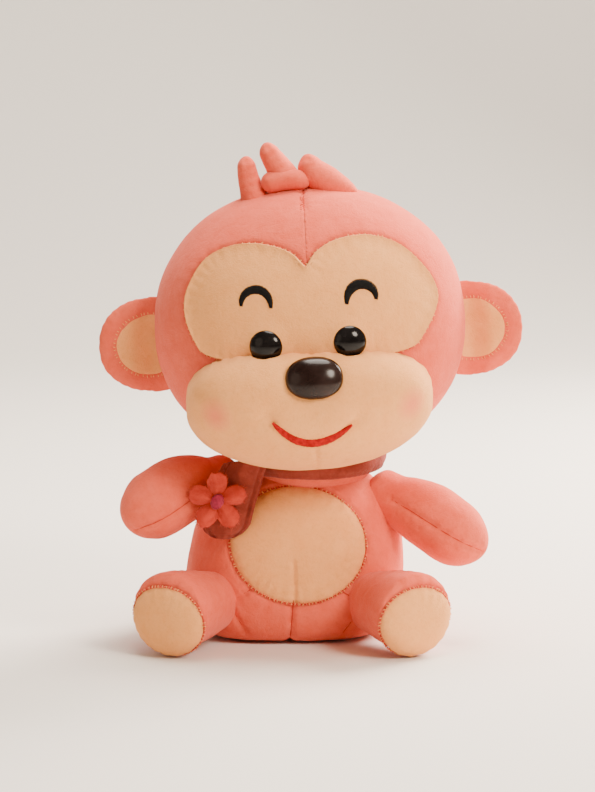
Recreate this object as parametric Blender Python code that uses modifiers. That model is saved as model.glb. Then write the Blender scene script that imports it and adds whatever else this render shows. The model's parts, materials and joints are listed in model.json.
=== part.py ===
"""A sitting stuffed monkey, 246 mm tall, built from its real pieces.

Velour covers of left and right panels are sewn over fibre filling. The head turns and nods on a
stuffed neck, the arms and legs swing in the armholes and leg holes of the body, the ears fold at
their seams and the end of the scarf lifts. Z is up, the monkey faces -Y, and the origin is on the
flat underside of the body. Left and right are the monkey's own: its left is +X.
"""

import math

import bmesh
import bpy
from mathutils import Matrix, Vector

# Fabric and fit, in metres like every length here
FABRIC = 0.0020
GAP = 0.0004
HALF_SEAM = 0.0002

# Body: an egg that leans to the left and is flat where it sits
BODY_SEMI = (0.0515, 0.0425, 0.0480)
BODY_CENTRE_Z = 0.0400
BODY_FULLNESS = (2.25, 2.25)
BODY_PEAR = 0.10
BODY_LEAN = 0.10
BELLY_CENTRE = (0.0040, 0.0490)
BELLY_SEMI = (0.0335, 0.0277)
BELLY_TILT = math.radians(4.5)
BELLY_CUT_Y = -0.0400
BELLY_CUT_HALF_DEPTH = 0.0300

# Seat: an oval panel let into the flat underside, with a bag of pellets over it
SEAT_SEMI = (0.0270, 0.0210)
PELLET_SEMI = (0.0280, 0.0230, 0.0140)
PELLET_CENTRE_Z = 0.0060

# Neck and head; the head's own lengths are from the middle of the head
NECK_PIVOT = Vector((0.0100, -0.0020, 0.0840))
NECK_RADIUS = 0.0200
NECK_ROOM = 0.0009
HEAD_ROLL = math.radians(-3.0)
HEAD_CENTRE = Vector((0.0035, -0.0060, 0.0700))
HEAD_SEMI = (0.0762, 0.0600, 0.0670)
HEAD_FULLNESS = (2.15, 2.15)
MUZZLE_CENTRE = Vector((-0.0021, -0.0380, -0.0340))
MUZZLE_SEMI = (0.0594, 0.0380, 0.0310)
MUZZLE_FULLNESS = (2.80, 2.05)

# Right half of the heart-shaped face, seen from the front: dip, lobe, cheek and lower corner
FACE_DIP_Z = 0.0335
FACE_LOBE = (0.0268, 0.0447)
FACE_CHEEK = (0.0600, 0.0160)
FACE_CORNER = (0.0480, -0.0105)
FACE_CUT_Y = -0.0500
FACE_CUT_HALF_DEPTH = 0.0450

# Eyes and nose: moulded plastic with a shank and a lock washer behind the cloth
EYE_PLACE = (0.0200, -0.0030)
EYE_RADIUS = 0.0083
EYE_HEIGHT = 0.0050
EYE_YAW = math.radians(12.0)
NOSE_PLACE = (0.0008, -0.0174)
NOSE_SEMI = (0.0136, 0.0103)
NOSE_HEIGHT = 0.0068
NOSE_TILT = math.radians(20.0)
SHANK_RADIUS = 0.0021
SHANK_LENGTH = 0.0110
WASHER_RADIUS = 0.0065
WASHER_THICKNESS = 0.0014
WASHER_DEPTH = 0.0050

# How far the holes for a shank, a washer and a dome's rim reach behind and ahead of the cloth
SHANK_CUT = (-0.0100, 0.0030)
WASHER_CUT_AHEAD = 0.0040
RIM_CUT_AHEAD = 0.0120

# Embroidery: satin stitch that stands on the cloth
THREAD_RADIUS = 0.0011
THREAD_LIFT = 0.0017
BROW_INNER = (0.0179, 0.0149)
BROW_TOP = (0.0249, 0.0237)
BROW_OUTER = (0.0319, 0.0162)
MOUTH_HALF_WIDTH = 0.0195
MOUTH_END_Z = -0.0395
MOUTH_LOW_Z = -0.0487

# Ears: D-shaped pads, hinged along their straight seam
EAR_ROOT_X = 0.0776
EAR_CENTRE_Z = -0.0065
EAR_REACH = 0.0262
EAR_HALF_HEIGHT = 0.0233
EAR_HALF_THICKNESS = 0.0042
EAR_PINCH_WIDTH = 0.0100
EAR_ROOT_SHARE = 0.30
EAR_LINING_SCALE = 0.68
EAR_LINING_THICKNESS = 0.0022
EAR_LINING_OUT = 0.0012
EAR_LINING_PROUD = 0.0004
EAR_EDGE = 0.0005

# Hair: rolled locks on a short roll, on top of the head and right of its middle
HAIR_ROOT_Y = -0.0040

# Arms: shoulder, middle of the hand, and radii there
ARM_ROOT_RADIUS = 0.0145
ARM_SWING = (-12.0, 35.0)
ARMS = {
    "right": {"pivot": (-0.0370, -0.0060, 0.0730), "hand": (-0.0665, -0.0360, 0.0715), "radius": 0.0180},
    "left": {"pivot": (0.0465, -0.0060, 0.0680), "hand": (0.0815, -0.0290, 0.0548), "radius": 0.0165},
}

# Room that a swinging limb keeps in its hole, and the angle between the places it is cut for
SWING_ROOM = 0.0018
SWING_STEP = 13.0

# Legs: hip, direction of the foot, and radii
LEG_ROOT_RADIUS = 0.0170
LEG_SWING = (0.0, 25.0)
LEG_LENGTH = 0.0470
LEG_RADIUS = 0.0212
LEG_END = 0.0105
SOLE_OFFSET = 0.0030
HIP = (0.0340, -0.0240, 0.0200)
FOOT_SPLAY = math.radians(29.0)
FOOT_RISE = 0.0016
BODY_BASE_X = 0.0010

# Scarf: a band round the neck, a hanging end, and a felt flower on it
BAND_CENTRE = Vector((0.0105, -0.0030, 0.0860))
BAND_RADII = (0.0335, 0.0322)
BAND_TILT = math.radians(3.5)
BAND_THICKNESS = 0.0034
BAND_HEIGHT = 0.0036
TAIL_PIVOT = Vector((-0.0225, -0.0395, 0.0870))
TAIL_WIDTH = 0.0250
TAIL_THICKNESS = 0.0032
TAIL_CURL = 0.0015
TAIL_PATH = (
    (0.0, 0.0, 0.0),
    (-0.0035, 0.0010, -0.0120),
    (-0.0085, 0.0030, -0.0240),
    (-0.0120, 0.0045, -0.0335),
)
TAIL_SHARES = (0.55, 0.92, 1.00, 0.62)
FLOWER_OFFSET = Vector((-0.0125, -0.0052, -0.0160))
PETALS = 5
PETAL_RADIUS = 0.0050
PETAL_RING = 0.0092
FLOWER_THICKNESS = 0.0026
PETAL_SHOULDER_TURN = 0.30
PETAL_SHOULDER = 0.86
PETAL_VALLEY = 0.75
FLOWER_CENTRE_SEMI = (0.0030, 0.0038)
FLOWER_CENTRE_HALF_DEPTH = 0.0010

# Colours, roughness
PINK = (0.72, 0.27, 0.25)
CREAM = (0.80, 0.56, 0.40)
ROSE = (0.47, 0.19, 0.21)
FELT = (0.80, 0.30, 0.32)
MAGENTA = (0.45, 0.09, 0.24)
BLACK = (0.015, 0.010, 0.010)
NOSE_BROWN = (0.035, 0.014, 0.012)
THREAD_BLACK = (0.025, 0.018, 0.020)
THREAD_RED = (0.55, 0.05, 0.05)
FIBRE = (0.86, 0.86, 0.84)
PELLET_CLOTH = (0.75, 0.75, 0.72)
CLEAR_PLASTIC = (0.70, 0.70, 0.70)


def clear_scene():
    for obj in list(bpy.data.objects):
        bpy.data.objects.remove(obj, do_unlink=True)


def new_collection(name):
    collection = bpy.data.collections.new(name)
    bpy.context.scene.collection.children.link(collection)
    return collection


clear_scene()
PARTS = new_collection("stuffed_monkey")
CUTTERS = new_collection("cutters")


def material(name, colour, roughness, metallic=0.0):
    found = bpy.data.materials.get(name)
    if found:
        return found
    made = bpy.data.materials.new(name)
    made.use_nodes = True
    shader = made.node_tree.nodes["Principled BSDF"]
    shader.inputs["Base Color"].default_value = (*colour, 1.0)
    shader.inputs["Roughness"].default_value = roughness
    shader.inputs["Metallic"].default_value = metallic
    return made


def frame(name, place=(0.0, 0.0, 0.0), turn=None, parent=None):
    """An empty whose pieces move together. A joint's empty lies on the joint's axis."""
    empty = bpy.data.objects.new(name, None)
    PARTS.objects.link(empty)
    empty.location = place
    if turn is not None:
        empty.rotation_mode = "QUATERNION"
        empty.rotation_quaternion = turn
    empty.parent = parent
    return empty


def add_object(name, mesh, parent, place=(0.0, 0.0, 0.0), look=None, turn=None):
    """Puts a mesh in the scene: with a look it is a piece, and without one it is a cutter."""
    obj = bpy.data.objects.new(name, mesh)
    (PARTS if look else CUTTERS).objects.link(obj)
    obj.parent = parent
    obj.location = place
    if turn is not None:
        obj.rotation_mode = "QUATERNION"
        obj.rotation_quaternion = turn
    if look:
        mesh.materials.append(material(*look))
        mesh.shade_smooth()
        mesh.set_sharp_from_angle(angle=math.radians(40.0))
    else:
        obj.hide_render = True
        obj.display_type = "WIRE"
    return obj


def mesh_from(bm, name):
    mesh = bpy.data.meshes.new(name)
    bm.to_mesh(mesh)
    bm.free()
    return mesh


def boolean(obj, cutter, operation="DIFFERENCE"):
    modifier = obj.modifiers.new(f"{operation.lower()} {cutter.name}", "BOOLEAN")
    modifier.operation = operation
    modifier.object = cutter


def solidify(obj, thickness=FABRIC):
    """Thickens an open surface inwards, so that it stays the outer face."""
    modifier = obj.modifiers.new("cloth", "SOLIDIFY")
    modifier.thickness = thickness
    modifier.offset = -1.0


def split_quads(bm):
    """Gives nested shapes the same diagonals, so that they stay apart."""
    bmesh.ops.triangulate(bm, faces=bm.faces, quad_method="FIXED")
    return bm


class Form:
    """A soft rounded shape: a superellipsoid that may narrow upwards, lean and be flat below."""

    def __init__(self, semi, fullness=(2.0, 2.0), pear=0.0, lean=0.0, centre_z=0.0, floor=None):
        self.semi = semi
        self.upper, self.lower = fullness
        self.pear = pear
        self.lean = lean
        self.centre_z = centre_z
        self.floor = floor

    def point(self, unit, inset=0.0):
        """The surface point in the direction of a unit vector, with the surface moved in by inset."""
        share = min(max((unit.z + 0.35) / 0.70, 0.0), 1.0)
        power = self.lower + (self.upper - self.lower) * share * share * (3.0 - 2.0 * share)
        reach = sum(abs(c) ** power for c in unit) ** (-1.0 / power)
        narrow = 1.0 - self.pear * unit.z * reach
        x = (self.semi[0] - inset) * reach * unit.x * narrow
        y = (self.semi[1] - inset) * reach * unit.y * narrow
        z = (self.semi[2] - inset) * reach * unit.z + self.centre_z
        if self.floor is not None:
            z = max(z, self.floor + inset)
        return Vector((x, y, z))

    def bmesh(self, inset=0.0, segments=24, rings=14):
        bm = bmesh.new()
        bmesh.ops.create_uvsphere(bm, u_segments=segments, v_segments=rings, radius=1.0)
        for vertex in bm.verts:
            vertex.co = self.point(vertex.co.normalized(), inset)
        return split_quads(bm)

    def leaned(self, bm):
        """Shears the shape sideways with height."""
        for vertex in bm.verts:
            vertex.co.x += self.lean * vertex.co.z
        return bm

    def front(self, x, z):
        """How far the front surface lies from the middle plane, at a place seen from the front."""
        low, high = 0.0, self.semi[1] * 1.2
        for _ in range(40):
            middle = (low + high) / 2.0
            probe = Vector((x / self.semi[0], -middle / self.semi[1], z / self.semi[2]))
            surface = self.point(probe.normalized())
            inside = probe.length < Vector(
                (surface.x / self.semi[0], surface.y / self.semi[1], surface.z / self.semi[2])
            ).length
            low, high = (middle, high) if inside else (low, middle)
        return -low


BODY = Form(BODY_SEMI, BODY_FULLNESS, BODY_PEAR, BODY_LEAN, BODY_CENTRE_Z, floor=0.0)
HEAD = Form(HEAD_SEMI, HEAD_FULLNESS)
MUZZLE = Form(MUZZLE_SEMI, MUZZLE_FULLNESS)


def keep_side(bm, point, normal):
    """Cuts an open surface at a plane and keeps the side that the normal points to."""
    geometry = bm.verts[:] + bm.edges[:] + bm.faces[:]
    bmesh.ops.bisect_plane(
        bm, geom=geometry, dist=1e-6, plane_co=point, plane_no=normal, clear_inner=True
    )
    return bm


def keep_half(bm, side):
    """Keeps the left or right half of a form, with its edge half a seam's gap off the middle."""
    beyond = [vertex for vertex in bm.verts if vertex.co.x * side < -1e-6]
    bmesh.ops.delete(bm, geom=beyond, context="VERTS")
    for vertex in bm.verts:
        if abs(vertex.co.x) <= 1e-6:
            vertex.co.x = side * HALF_SEAM
    return bm


def outline_solid(name, points, corners, half_depth, parent, place, turn):
    """A smooth closed outline, with sharp points where corners says, made a solid of that depth.

    The outline is drawn in X and Y of a flat curve, which turn stands up.
    """
    curve = bpy.data.curves.new(name, "CURVE")
    curve.dimensions = "2D"
    curve.fill_mode = "BOTH"
    curve.extrude = half_depth
    curve.resolution_u = 4
    spline = curve.splines.new("BEZIER")
    spline.bezier_points.add(len(points) - 1)
    for bezier, point, sharp in zip(spline.bezier_points, points, corners, strict=True):
        bezier.co = (*point, 0.0)
        bezier.handle_left_type = bezier.handle_right_type = "VECTOR" if sharp else "AUTO"
    spline.use_cyclic_u = True
    drawn = bpy.data.objects.new(name + "_outline", curve)
    CUTTERS.objects.link(drawn)
    mesh = closed_mesh(drawn)
    return add_object(name, mesh, parent, place, turn=turn)


def closed_mesh(curve_object):
    """The mesh of a curve object with its caps welded on; the curve is removed."""
    graph = bpy.context.evaluated_depsgraph_get()
    mesh = bpy.data.meshes.new_from_object(curve_object.evaluated_get(graph))
    bm = bmesh.new()
    bm.from_mesh(mesh)
    bmesh.ops.remove_doubles(bm, verts=bm.verts, dist=1e-6)
    bmesh.ops.recalc_face_normals(bm, faces=bm.faces)
    bm.to_mesh(mesh)
    bm.free()
    bpy.data.objects.remove(curve_object, do_unlink=True)
    return mesh


def ball(name, radius, parent, place=(0.0, 0.0, 0.0), look=None, segments=16, rings=10):
    bm = bmesh.new()
    bmesh.ops.create_uvsphere(bm, u_segments=segments, v_segments=rings, radius=radius)
    return add_object(name, mesh_from(bm, name), parent, place, look)


def rod(name, radius, near, far, parent, place, turn, segments=16):
    """A cutter along local Z from near to far."""
    bm = bmesh.new()
    middle = Matrix.Translation((0.0, 0.0, (near + far) / 2.0))
    bmesh.ops.create_cone(
        bm, cap_ends=True, segments=segments, radius1=radius, radius2=radius,
        depth=far - near, matrix=middle,
    )
    return add_object(name, mesh_from(bm, name), parent, place, turn=turn)


VELOUR_PINK = ("pink_velour", PINK, 0.90)
VELOUR_CREAM = ("cream_velour", CREAM, 0.90)
VELOUR_ROSE = ("rose_velour", ROSE, 0.90)
FILLING = ("fibre_filling", FIBRE, 0.95)

# Stands a flat outline up to face the front: its X stays X and its Y becomes Z
STAND_UP = Matrix.Rotation(math.radians(90.0), 4, "X").to_quaternion()

body_frame = frame("body_frame")
neck_frame = frame("neck_frame", NECK_PIVOT, parent=body_frame)
head_roll = Matrix.Rotation(HEAD_ROLL, 4, "Y").to_quaternion()
head_frame = frame("head_frame", turn=head_roll, parent=neck_frame)


# Neck: a stuffed ball, half in the body and half in the head
ball("neck_filling", NECK_RADIUS, neck_frame, look=FILLING, segments=16, rings=10)
neck_socket_body = ball("neck_socket_body", NECK_RADIUS + NECK_ROOM, body_frame, NECK_PIVOT)
neck_socket_head = ball("neck_socket_head", NECK_RADIUS + NECK_ROOM, head_frame)


def limb_direction(pivot, end):
    return (Vector(end) - Vector(pivot)).normalized()


def hip_of(side):
    return Vector((BODY_BASE_X + side * HIP[0], HIP[1], HIP[2]))


def foot_direction(side):
    level = Vector((side * math.sin(FOOT_SPLAY), -math.cos(FOOT_SPLAY), 0.0))
    return (level * LEG_LENGTH + Vector((0.0, 0.0, FOOT_RISE))).normalized()


def limb_point(unit, root_radius, length, radius, end, inset):
    """A limb's surface: a ball at its root, a cone, and a rounded end of its own depth."""
    if unit.z <= 1e-6:
        return unit * (root_radius - inset)
    power = 2.5
    reach = (math.hypot(unit.x, unit.y) ** power + unit.z**power) ** (-1.0 / power)
    across = (radius - inset) * reach
    return Vector((unit.x * across, unit.y * across, length + (end - inset) * unit.z * reach))


def limb_bmesh(shape, inset=0.0, segments=12, rings=10):
    bm = bmesh.new()
    bmesh.ops.create_uvsphere(bm, u_segments=segments, v_segments=rings, radius=1.0)
    for vertex in bm.verts:
        vertex.co = limb_point(vertex.co.normalized(), *shape, inset)
    return split_quads(bm)


SIDES = {"left": 1.0, "right": -1.0}


def swing_room(name, pivot, turn, shape, axis, limits):
    """One convex cutter round all the places that a limb passes through, with room to spare."""
    low, high = limits
    count = math.ceil((high - low) / SWING_STEP)
    swept = bmesh.new()
    for step in range(count + 1):
        angle = math.radians(low + (high - low) * step / count)
        swung = Matrix.Rotation(angle, 4, axis) @ turn.to_matrix().to_4x4()
        limb = limb_bmesh(shape, -SWING_ROOM, 12, 8)
        for vertex in limb.verts:
            swept.verts.new(swung @ vertex.co)
        limb.free()
    hull = bmesh.ops.convex_hull(swept, input=swept.verts[:])
    inside = [item for item in hull["geom_interior"] if isinstance(item, bmesh.types.BMVert)]
    bmesh.ops.delete(swept, geom=inside, context="VERTS")
    bmesh.ops.dissolve_limit(swept, angle_limit=math.radians(2.0), verts=swept.verts[:], edges=swept.edges[:])
    return add_object(f"{name}_room", mesh_from(swept, name), body_frame, pivot)


LIMBS = {}
for side_name, side_sign in SIDES.items():
    arm = ARMS[side_name]
    pivot, hand = Vector(arm["pivot"]), Vector(arm["hand"])
    LIMBS[f"{side_name}_arm"] = {
        "side": side_name, "pivot": pivot, "turn": limb_direction(pivot, hand).to_track_quat("Z", "Y"),
        "shape": (ARM_ROOT_RADIUS, (hand - pivot).length, arm["radius"], arm["radius"]),
        "axis": Vector((0.0, -side_sign, 0.0)), "limits": ARM_SWING,
    }
    LIMBS[f"{side_name}_leg"] = {
        "side": side_name, "pivot": hip_of(side_sign),
        "turn": foot_direction(side_sign).to_track_quat("Z", "Y"),
        "shape": (LEG_ROOT_RADIUS, LEG_LENGTH, LEG_RADIUS, LEG_END),
        "axis": Vector((-1.0, 0.0, 0.0)), "limits": LEG_SWING,
    }

HOLES = {"left": [], "right": []}
for limb_name, limb in LIMBS.items():
    room = swing_room(
        limb_name, limb["pivot"], limb["turn"], limb["shape"], limb["axis"], limb["limits"]
    )
    HOLES[limb["side"]].append(room)


def cut_holes(obj, sides=("left", "right")):
    """Opens a piece of the body for the limbs of those sides and for the neck."""
    for side in sides:
        for hole in HOLES[side]:
            boolean(obj, hole)
    boolean(obj, neck_socket_body)


# Body: two cover panels, a belly patch, the filling and the pellet bag
def ellipse_points(semi, count=8):
    turns = [2.0 * math.pi * i / count for i in range(count)]
    return [(semi[0] * math.cos(a), semi[1] * math.sin(a)) for a in turns]


def belly_cutter(name, grow):
    place = Vector((BELLY_CENTRE[0], BELLY_CUT_Y, BELLY_CENTRE[1]))
    tilt = Matrix.Rotation(BELLY_TILT, 4, "Y").to_quaternion()
    semi = (BELLY_SEMI[0] + grow, BELLY_SEMI[1] + grow)
    points = ellipse_points(semi)
    return outline_solid(
        name, points, [False] * len(points), BELLY_CUT_HALF_DEPTH, body_frame, place, tilt @ STAND_UP
    )


def seat_disc(name, grow, low, high, look=None):
    """The oval of the seat as an upright disc between two heights."""
    bm = bmesh.new()
    middle = Matrix.Translation((0.0, 0.0, (low + high) / 2.0))
    bmesh.ops.create_cone(
        bm, cap_ends=True, segments=28, radius1=1.0, radius2=1.0, depth=high - low, matrix=middle
    )
    bmesh.ops.scale(bm, vec=(SEAT_SEMI[0] + grow, SEAT_SEMI[1] + grow, 1.0), verts=bm.verts)
    return add_object(name, mesh_from(bm, name), body_frame, look=look)


def body_skin(name, look, side=None):
    bm = BODY.bmesh(rings=12)
    if side:
        keep_half(bm, side)
    skin = add_object(name, mesh_from(BODY.leaned(bm), name), body_frame, look=look)
    solidify(skin)
    return skin


belly_hole = belly_cutter("belly_hole", HALF_SEAM)
belly_shape = belly_cutter("belly_shape", -HALF_SEAM)
seat_hole = seat_disc("seat_hole", GAP, -2.0 * FABRIC, 2.0 * FABRIC)
seat_disc("seat_panel", 0.0, 0.0, FABRIC, VELOUR_PINK)
for side_name, side_sign in SIDES.items():
    panel = body_skin(f"body_{side_name}_panel", VELOUR_PINK, side_sign)
    boolean(panel, belly_hole)
    boolean(panel, seat_hole)
    cut_holes(panel, (side_name,))

belly_core = add_object(
    "belly_core", mesh_from(BODY.leaned(BODY.bmesh(FABRIC, rings=12)), "belly_core"), body_frame
)
belly = add_object(
    "belly_patch", mesh_from(BODY.leaned(BODY.bmesh(rings=12)), "belly_patch"), body_frame,
    look=VELOUR_CREAM,
)
boolean(belly, belly_core)
boolean(belly, belly_shape, "INTERSECT")
cut_holes(belly)

body_filling = add_object(
    "body_filling",
    mesh_from(BODY.leaned(BODY.bmesh(FABRIC + GAP, rings=12)), "body_filling"),
    body_frame,
    look=FILLING,
)
PELLETS = Form(PELLET_SEMI, (2.0, 2.0), centre_z=PELLET_CENTRE_Z, floor=FABRIC + GAP)
add_object(
    "pellet_bag", mesh_from(PELLETS.bmesh(0.0, 18, 10), "pellet_bag"), body_frame,
    look=("pellet_bag_cloth", PELLET_CLOTH, 0.8),
)
POCKET = Form(PELLET_SEMI, (2.0, 2.0), centre_z=PELLET_CENTRE_Z, floor=-FABRIC)
pellet_pocket = add_object(
    "pellet_pocket", mesh_from(POCKET.bmesh(-GAP, 18, 10), "pellet_pocket"), body_frame
)
boolean(body_filling, pellet_pocket)
cut_holes(body_filling)


# Head: two cover panels, the heart-shaped face, the muzzle and one filling
def heart_points():
    half = [FACE_LOBE, FACE_CHEEK, FACE_CORNER]
    other = [(-x, z) for x, z in reversed(half)]
    return [(0.0, FACE_DIP_Z), *half, *other]


def face_cutter(name, scale):
    points = [(x * scale, z * scale) for x, z in heart_points()]
    sharp = [True, False, False, True, True, False, False]
    place = HEAD_CENTRE + Vector((0.0, FACE_CUT_Y, 0.0))
    return outline_solid(name, points, sharp, FACE_CUT_HALF_DEPTH, head_frame, place, STAND_UP)


def head_form(name, form, inset, place, look=None, segments=24, rings=14):
    mesh = mesh_from(form.bmesh(inset, segments, rings), name)
    return add_object(name, mesh, head_frame, place, look)


MUZZLE_PLACE = HEAD_CENTRE + MUZZLE_CENTRE
face_hole = face_cutter("face_hole", 1.0 + HALF_SEAM / FACE_CHEEK[0])
face_shape = face_cutter("face_shape", 1.0 - HALF_SEAM / FACE_CHEEK[0])
muzzle_inside = head_form("muzzle_inside", MUZZLE, FABRIC, MUZZLE_PLACE, segments=22, rings=12)
head_outside = head_form("head_outside", HEAD, -GAP, HEAD_CENTRE)
head_core = head_form("head_core", HEAD, FABRIC, HEAD_CENTRE)

for side_name, side_sign in SIDES.items():
    half_head = HEAD.bmesh(0.0, 24, 14)
    keep_half(half_head, side_sign)
    name = f"head_{side_name}_panel"
    panel = add_object(name, mesh_from(half_head, name), head_frame, HEAD_CENTRE, VELOUR_PINK)
    solidify(panel)
    for cutter in (face_hole, muzzle_inside, neck_socket_head):
        boolean(panel, cutter)

face = head_form("face_panel", HEAD, 0.0, HEAD_CENTRE, VELOUR_CREAM)
boolean(face, head_core)
boolean(face, face_shape, "INTERSECT")
boolean(face, muzzle_inside)

muzzle = head_form("muzzle_panel", MUZZLE, 0.0, MUZZLE_PLACE, VELOUR_CREAM, 22, 12)
boolean(muzzle, muzzle_inside)
boolean(muzzle, head_outside)

head_filling = head_form("head_filling", HEAD, FABRIC + GAP, HEAD_CENTRE, FILLING)
muzzle_filling = head_form(
    "muzzle_filling", MUZZLE, FABRIC + GAP, MUZZLE_PLACE, segments=22, rings=12
)
boolean(head_filling, muzzle_filling, "UNION")
boolean(head_filling, neck_socket_head)


# Eyes and nose
def fixture(name, look, place, turn, radius, height, flatten=1.0):
    """A moulded dome with a shank behind it, turned about Z, which points out of the face."""
    profile = [(0.0, height)]
    steps = 5
    for step in range(1, steps + 1):
        angle = math.pi / 2.0 * step / steps
        profile.append((radius * math.sin(angle), height * math.cos(angle)))
    profile += [(SHANK_RADIUS, 0.0), (SHANK_RADIUS, -SHANK_LENGTH), (0.0, -SHANK_LENGTH)]
    bm = bmesh.new()
    corners = [bm.verts.new((x, 0.0, z)) for x, z in profile]
    for first, second in zip(corners, corners[1:], strict=False):
        bm.edges.new((first, second))
    obj = add_object(name, mesh_from(bm, name), head_frame, place, look, turn)
    screw = obj.modifiers.new("turn", "SCREW")
    screw.steps = screw.render_steps = 14
    screw.use_merge_vertices = True
    screw.merge_threshold = 1e-6
    obj.scale = (1.0, flatten, 1.0)
    return obj


def washer(name, place, turn):
    """A lock washer pushed on the shank from behind."""
    bm = bmesh.new()
    middle = Matrix.Translation((0.0, 0.0, -WASHER_DEPTH - WASHER_THICKNESS / 2.0))
    bmesh.ops.create_cone(
        bm, cap_ends=True, segments=16, radius1=WASHER_RADIUS, radius2=WASHER_RADIUS,
        depth=WASHER_THICKNESS, matrix=middle,
    )
    look = ("clear_plastic", CLEAR_PLASTIC, 0.4)
    obj = add_object(name, mesh_from(bm, name), head_frame, place, look, turn)
    hole = rod(name + "_hole", SHANK_RADIUS + GAP, -2.0 * SHANK_LENGTH, 0.0, head_frame, place, turn, 12)
    boolean(obj, hole)


def seat_fixture(name, place, turn, skins, rim_radius, flatten=1.0):
    """Makes room for a shank, its washer and the rim of its dome in the cloth and the filling."""
    shank_hole = rod(
        name + "_shank_hole", SHANK_RADIUS + GAP, *SHANK_CUT, head_frame, place, turn, 12
    )
    pocket = rod(
        name + "_pocket", WASHER_RADIUS + GAP, -SHANK_LENGTH - GAP, WASHER_CUT_AHEAD,
        head_frame, place, turn, 16,
    )
    rim = rod(name + "_rim", rim_radius + GAP, -GAP, RIM_CUT_AHEAD, head_frame, place, turn, 20)
    rim.scale = (1.0, flatten, 1.0)
    for skin in skins:
        boolean(skin, shank_hole)
        boolean(skin, rim)
    boolean(head_filling, pocket)
    boolean(head_filling, rim)


def facing(tilt, yaw):
    """The turn that points local Z out of the face, tilted up and turned to the left."""
    out = Matrix.Rotation(math.radians(90.0), 4, "X")
    return (Matrix.Rotation(yaw, 4, "Z") @ Matrix.Rotation(-tilt, 4, "X") @ out).to_quaternion()


GLOSS_BLACK = ("black_plastic", BLACK, 0.12)
GLOSS_BROWN = ("brown_plastic", NOSE_BROWN, 0.25)

for side_name, side_sign in SIDES.items():
    eye_x = side_sign * EYE_PLACE[0]
    eye_place = HEAD_CENTRE + Vector((eye_x, HEAD.front(eye_x, EYE_PLACE[1]) - GAP, EYE_PLACE[1]))
    eye_turn = facing(0.0, side_sign * EYE_YAW)
    fixture(f"{side_name}_eye", GLOSS_BLACK, eye_place, eye_turn, EYE_RADIUS, EYE_HEIGHT)
    washer(f"{side_name}_eye_washer", eye_place, eye_turn)
    seat_fixture(f"{side_name}_eye", eye_place, eye_turn, (face, muzzle), EYE_RADIUS)

nose_x, nose_z = NOSE_PLACE
nose_front = MUZZLE.front(nose_x - MUZZLE_CENTRE.x, nose_z - MUZZLE_CENTRE.z) + MUZZLE_CENTRE.y
nose_place = HEAD_CENTRE + Vector((nose_x, nose_front - GAP, nose_z))
nose_turn = facing(NOSE_TILT, 0.0)
nose_flat = NOSE_SEMI[1] / NOSE_SEMI[0]
fixture("nose", GLOSS_BROWN, nose_place, nose_turn, NOSE_SEMI[0], NOSE_HEIGHT, nose_flat)
washer("nose_washer", nose_place, nose_turn)
seat_fixture("nose", nose_place, nose_turn, (muzzle,), NOSE_SEMI[0], nose_flat)


# Embroidery: brows on the face, mouth on the muzzle
def thread_line(name, points, look, place, thin_ends=0.45):
    """A satin-stitched line: a tube, thinner at its ends, along the points."""
    curve = bpy.data.curves.new(name, "CURVE")
    curve.dimensions = "3D"
    curve.bevel_depth = THREAD_RADIUS
    curve.bevel_resolution = 1
    curve.use_fill_caps = True
    spline = curve.splines.new("POLY")
    spline.points.add(len(points) - 1)
    last = len(points) - 1
    for index, point in enumerate(points):
        spline.points[index].co = (*point, 1.0)
        middle_share = math.sin(math.pi * index / last)
        spline.points[index].radius = thin_ends + (1.0 - thin_ends) * middle_share
    drawn = bpy.data.objects.new(name + "_line", curve)
    CUTTERS.objects.link(drawn)
    add_object(name, closed_mesh(drawn), head_frame, place, look)


def arc_through(first, top, last, steps):
    """Points on the parabola through two ends and a middle point."""
    points = []
    for index in range(steps + 1):
        t = index / steps
        start, middle, end = (1 - t) * (1 - 2 * t), 4 * t * (1 - t), t * (2 * t - 1)
        points.append(tuple(start * first[k] + middle * top[k] + end * last[k] for k in (0, 1)))
    return points


def on_surface(points, form, offset, lift):
    """Lifts points seen from the front onto a form's front, and a little off it."""
    shown = []
    for x, z in points:
        shown.append(Vector((x, form.front(x - offset.x, z - offset.z) + offset.y - lift, z)))
    return shown


for side_name, side_sign in SIDES.items():
    ends = [(side_sign * x, z) for x, z in (BROW_INNER, BROW_TOP, BROW_OUTER)]
    brow = on_surface(arc_through(*ends, 7), HEAD, Vector((0.0, 0.0, 0.0)), THREAD_LIFT)
    thread_line(f"{side_name}_eyebrow", brow, ("black_thread", THREAD_BLACK, 0.6), HEAD_CENTRE)

mouth_ends = ((-MOUTH_HALF_WIDTH, MOUTH_END_Z), (0.0, MOUTH_LOW_Z), (MOUTH_HALF_WIDTH, MOUTH_END_Z))
mouth = on_surface(arc_through(*mouth_ends, 10), MUZZLE, MUZZLE_CENTRE, THREAD_LIFT)
thread_line("mouth", mouth, ("red_thread", THREAD_RED, 0.6), HEAD_CENTRE)


# Ears: a pad, thin where it is sewn on, with a lining let into its front
def pinched(bm, offset=Vector((0.0, 0.0, 0.0))):
    """Moves an ear shape to its place on the pad and thins it towards the seam at X = 0."""
    for vertex in bm.verts:
        vertex.co += offset
        share = min(abs(vertex.co.x) / EAR_PINCH_WIDTH, 1.0)
        vertex.co.y *= EAR_ROOT_SHARE + (1.0 - EAR_ROOT_SHARE) * share
    return bm


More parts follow.
